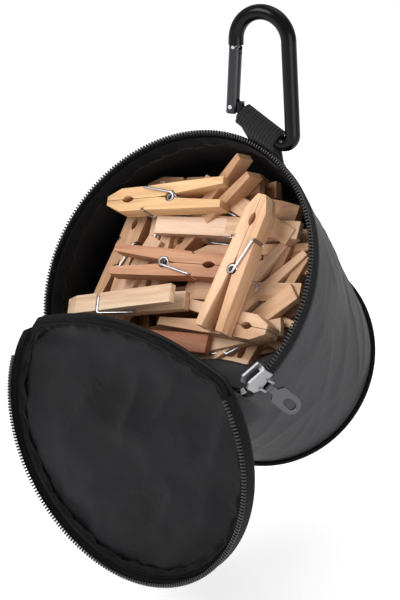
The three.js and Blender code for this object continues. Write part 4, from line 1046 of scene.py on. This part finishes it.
def peg_spring(name, pieces):
    """A peg's spring, set on its arms, with the points of the coil next to the fixed and the moving arm."""
    middle, axes = mesh_axes(pieces)
    along, across = axes[:2]
    if len(pieces) == 2:
        fixed, moving = (np.mean([tuple(v.co) for v in piece.data.vertices], axis=0) for piece in pieces)
        if Vector(fixed - moving).dot(across) < 0:
            across = -across
    points = np.array([tuple(v.co) for piece in pieces for v in piece.data.vertices])
    rel = points - np.array(middle)
    run = rel @ np.array(along)
    tail = np.ptp((rel @ np.array(across))[run > PEG_ENDS_AT * MM])
    jaw = np.ptp((rel @ np.array(across))[run < -PEG_ENDS_AT * MM])
    if tail < jaw:
        along = -along
    wide = along.cross(across)
    turn = Matrix((along, across, wide)).transposed().to_4x4()
    place = Matrix.Translation(middle) @ turn @ Matrix.Scale(MM, 4)
    made = tube_piece(name, [place @ p for p in spring_line()], SPRING_WIRE / 2 * MM, 10, steel)
    coil_at = PEG_COIL_AT - PEG_LENGTH / 2
    ends = [place @ Vector((coil_at, side * SPRING_RADIUS, 0)) for side in (1, -1)]
    return made, ends


WOOD_ROUNDING = 0.45
WOOD_EDGE_ANGLE = 30
for seed, peg in enumerate(sorted(WOODS)):
    arms = [nodes[name] for name in sorted(nodes) if name.startswith(peg) and not name.endswith("spring")]
    middle, axes = mesh_axes(arms)
    surface = wood(peg + "_wood", *WOODS[peg], middle, axes, seed)
    for arm in arms:
        finish_node(arm.name, surface, width=WOOD_ROUNDING, angle=WOOD_EDGE_ANGLE)
    if peg == "peg_pile":
        continue
    spring, (fixed_end, moving_end) = peg_spring(peg + "_spring_wire", arms)
    if peg + "_spring" in nodes:
        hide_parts(peg + "_spring")
        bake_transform(spring)
    else:
        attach(spring, "bag")

# Loose pegs: thirteen more pegs of the same make, which lie on the pile and fill it to the wall. Nothing
# holds them but their own weight.
PEG_TAIL_INSIDE = 4.6
PEG_TAIL = 4.2
PEG_OPENS_AT = 34.0
PEG_NOTCH_AT = 14.0
PEG_NOTCH = 8.0
PEG_NOTCH_DEPTH = 1.8
PEG_JAW_TIP = 2.6
PEG_JAW_BEVEL = 9.0
PEG_JAW_GAP = 0.15
PEG_BACK = 0.8
# Each is x, y and z in the bag's axes, in millimetres, then the heading, rise and roll in degrees.
LOOSE_PEGS = [
    (14, 40, -30, 8, 0, 90), (24, 26, -33, 12, 0, 0), (28, -3, -33, -10, 0, 0), (28, -22, -30, 25, 0, 90),
    (34, 6, -28, 60, 0, 0), (45, -1, -32, 78, 4, 0), (38, -14, -31, 48, 4, 90), (10, -38, -33, 4, 0, 0),
    (-20, -37, -36, -6, 0, 90), (-10, 44, -26, 50, 20, 0), (12, 50, -29, -15, 0, 90),
    (-38, 20, -33, 100, 0, 0), (-48, -14, -33, 75, 0, 90),
]


def peg_arm_outline():
    """One arm from its side, in millimetres from the peg's middle; the other arm is its mirror."""
    radius = ((PEG_NOTCH / 2) ** 2 + PEG_NOTCH_DEPTH ** 2) / (2 * PEG_NOTCH_DEPTH)
    reach = math.asin(PEG_NOTCH / 2 / radius)
    notch_y = PEG_JAW_GAP + PEG_NOTCH_DEPTH - radius
    outline = [(0, PEG_JAW_GAP)]
    for i in range(9):
        turn = math.pi / 2 + reach - 2 * reach * i / 8
        outline.append((PEG_NOTCH_AT + radius * math.cos(turn), notch_y + radius * math.sin(turn)))
    outline += [
        (PEG_OPENS_AT, PEG_JAW_GAP), (PEG_LENGTH, PEG_TAIL_INSIDE), (PEG_LENGTH, PEG_TAIL_INSIDE + PEG_TAIL),
        (PEG_COIL_AT, PEG_ARM + PEG_BACK), (PEG_JAW_BEVEL, PEG_ARM), (0, PEG_JAW_TIP),
    ]
    return [(x - PEG_LENGTH / 2, y) for x, y in outline]


def loose_peg(name, surface, place):
    """Both arms of a peg in its own axes, set down by a matrix."""
    points = []
    faces = []
    for side in (1, -1):
        outline = peg_arm_outline()
        count = len(outline)
        start = len(points)
        for z in (-PEG_WIDTH / 2, PEG_WIDTH / 2):
            points += [Vector((x, side * y, z)) * MM for x, y in outline]
        ring = list(range(count))
        faces.append(tuple(start + k for k in (ring if side < 0 else reversed(ring))))
        faces.append(tuple(start + count + k for k in (reversed(ring) if side < 0 else ring)))
        for k in ring:
            m = (k + 1) % count
            quad = (start + k, start + m, start + count + m, start + count + k)
            faces.append(quad if side > 0 else quad[::-1])
    peg = mesh_piece(name, points, faces, surface, smooth=False)
    edges = peg.modifiers.new("edges", "BEVEL")
    edges.width = WOOD_ROUNDING * MM
    edges.segments = 2
    edges.limit_method = "ANGLE"
    edges.angle_limit = math.radians(WOOD_EDGE_ANGLE)
    peg.matrix_world = place
    return peg


own_axes = (Vector((1, 0, 0)), Vector((0, 1, 0)), Vector((0, 0, 1)))
loose_woods = []
for k, like in enumerate(("peg_05", "peg_06", "peg_02", "peg_08")):
    loose_woods.append(wood("loose_peg_wood_%d" % k, *WOODS[like], Vector((0, 0, 0)), own_axes, 20 + k))
loose_wire = [p * MM for p in spring_line()]
for k, (x, y, z, heading, rise, roll) in enumerate(LOOSE_PEGS):
    turn = (Matrix.Rotation(math.radians(heading), 4, "Z") @ Matrix.Rotation(math.radians(-rise), 4, "Y")
            @ Matrix.Rotation(math.radians(roll), 4, "X"))
    place = bag_place @ Matrix.Translation((x, y, z)) @ turn @ Matrix.Scale(1 / MM, 4)
    peg = loose_peg("loose_peg_%02d" % (k + 1), loose_woods[k % len(loose_woods)], place)
    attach(peg, "bag")
    spring = tube_piece("loose_spring_%02d" % (k + 1), loose_wire, SPRING_WIRE / 2 * MM, 10, steel)
    spring.matrix_world = place
    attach(spring, "bag")
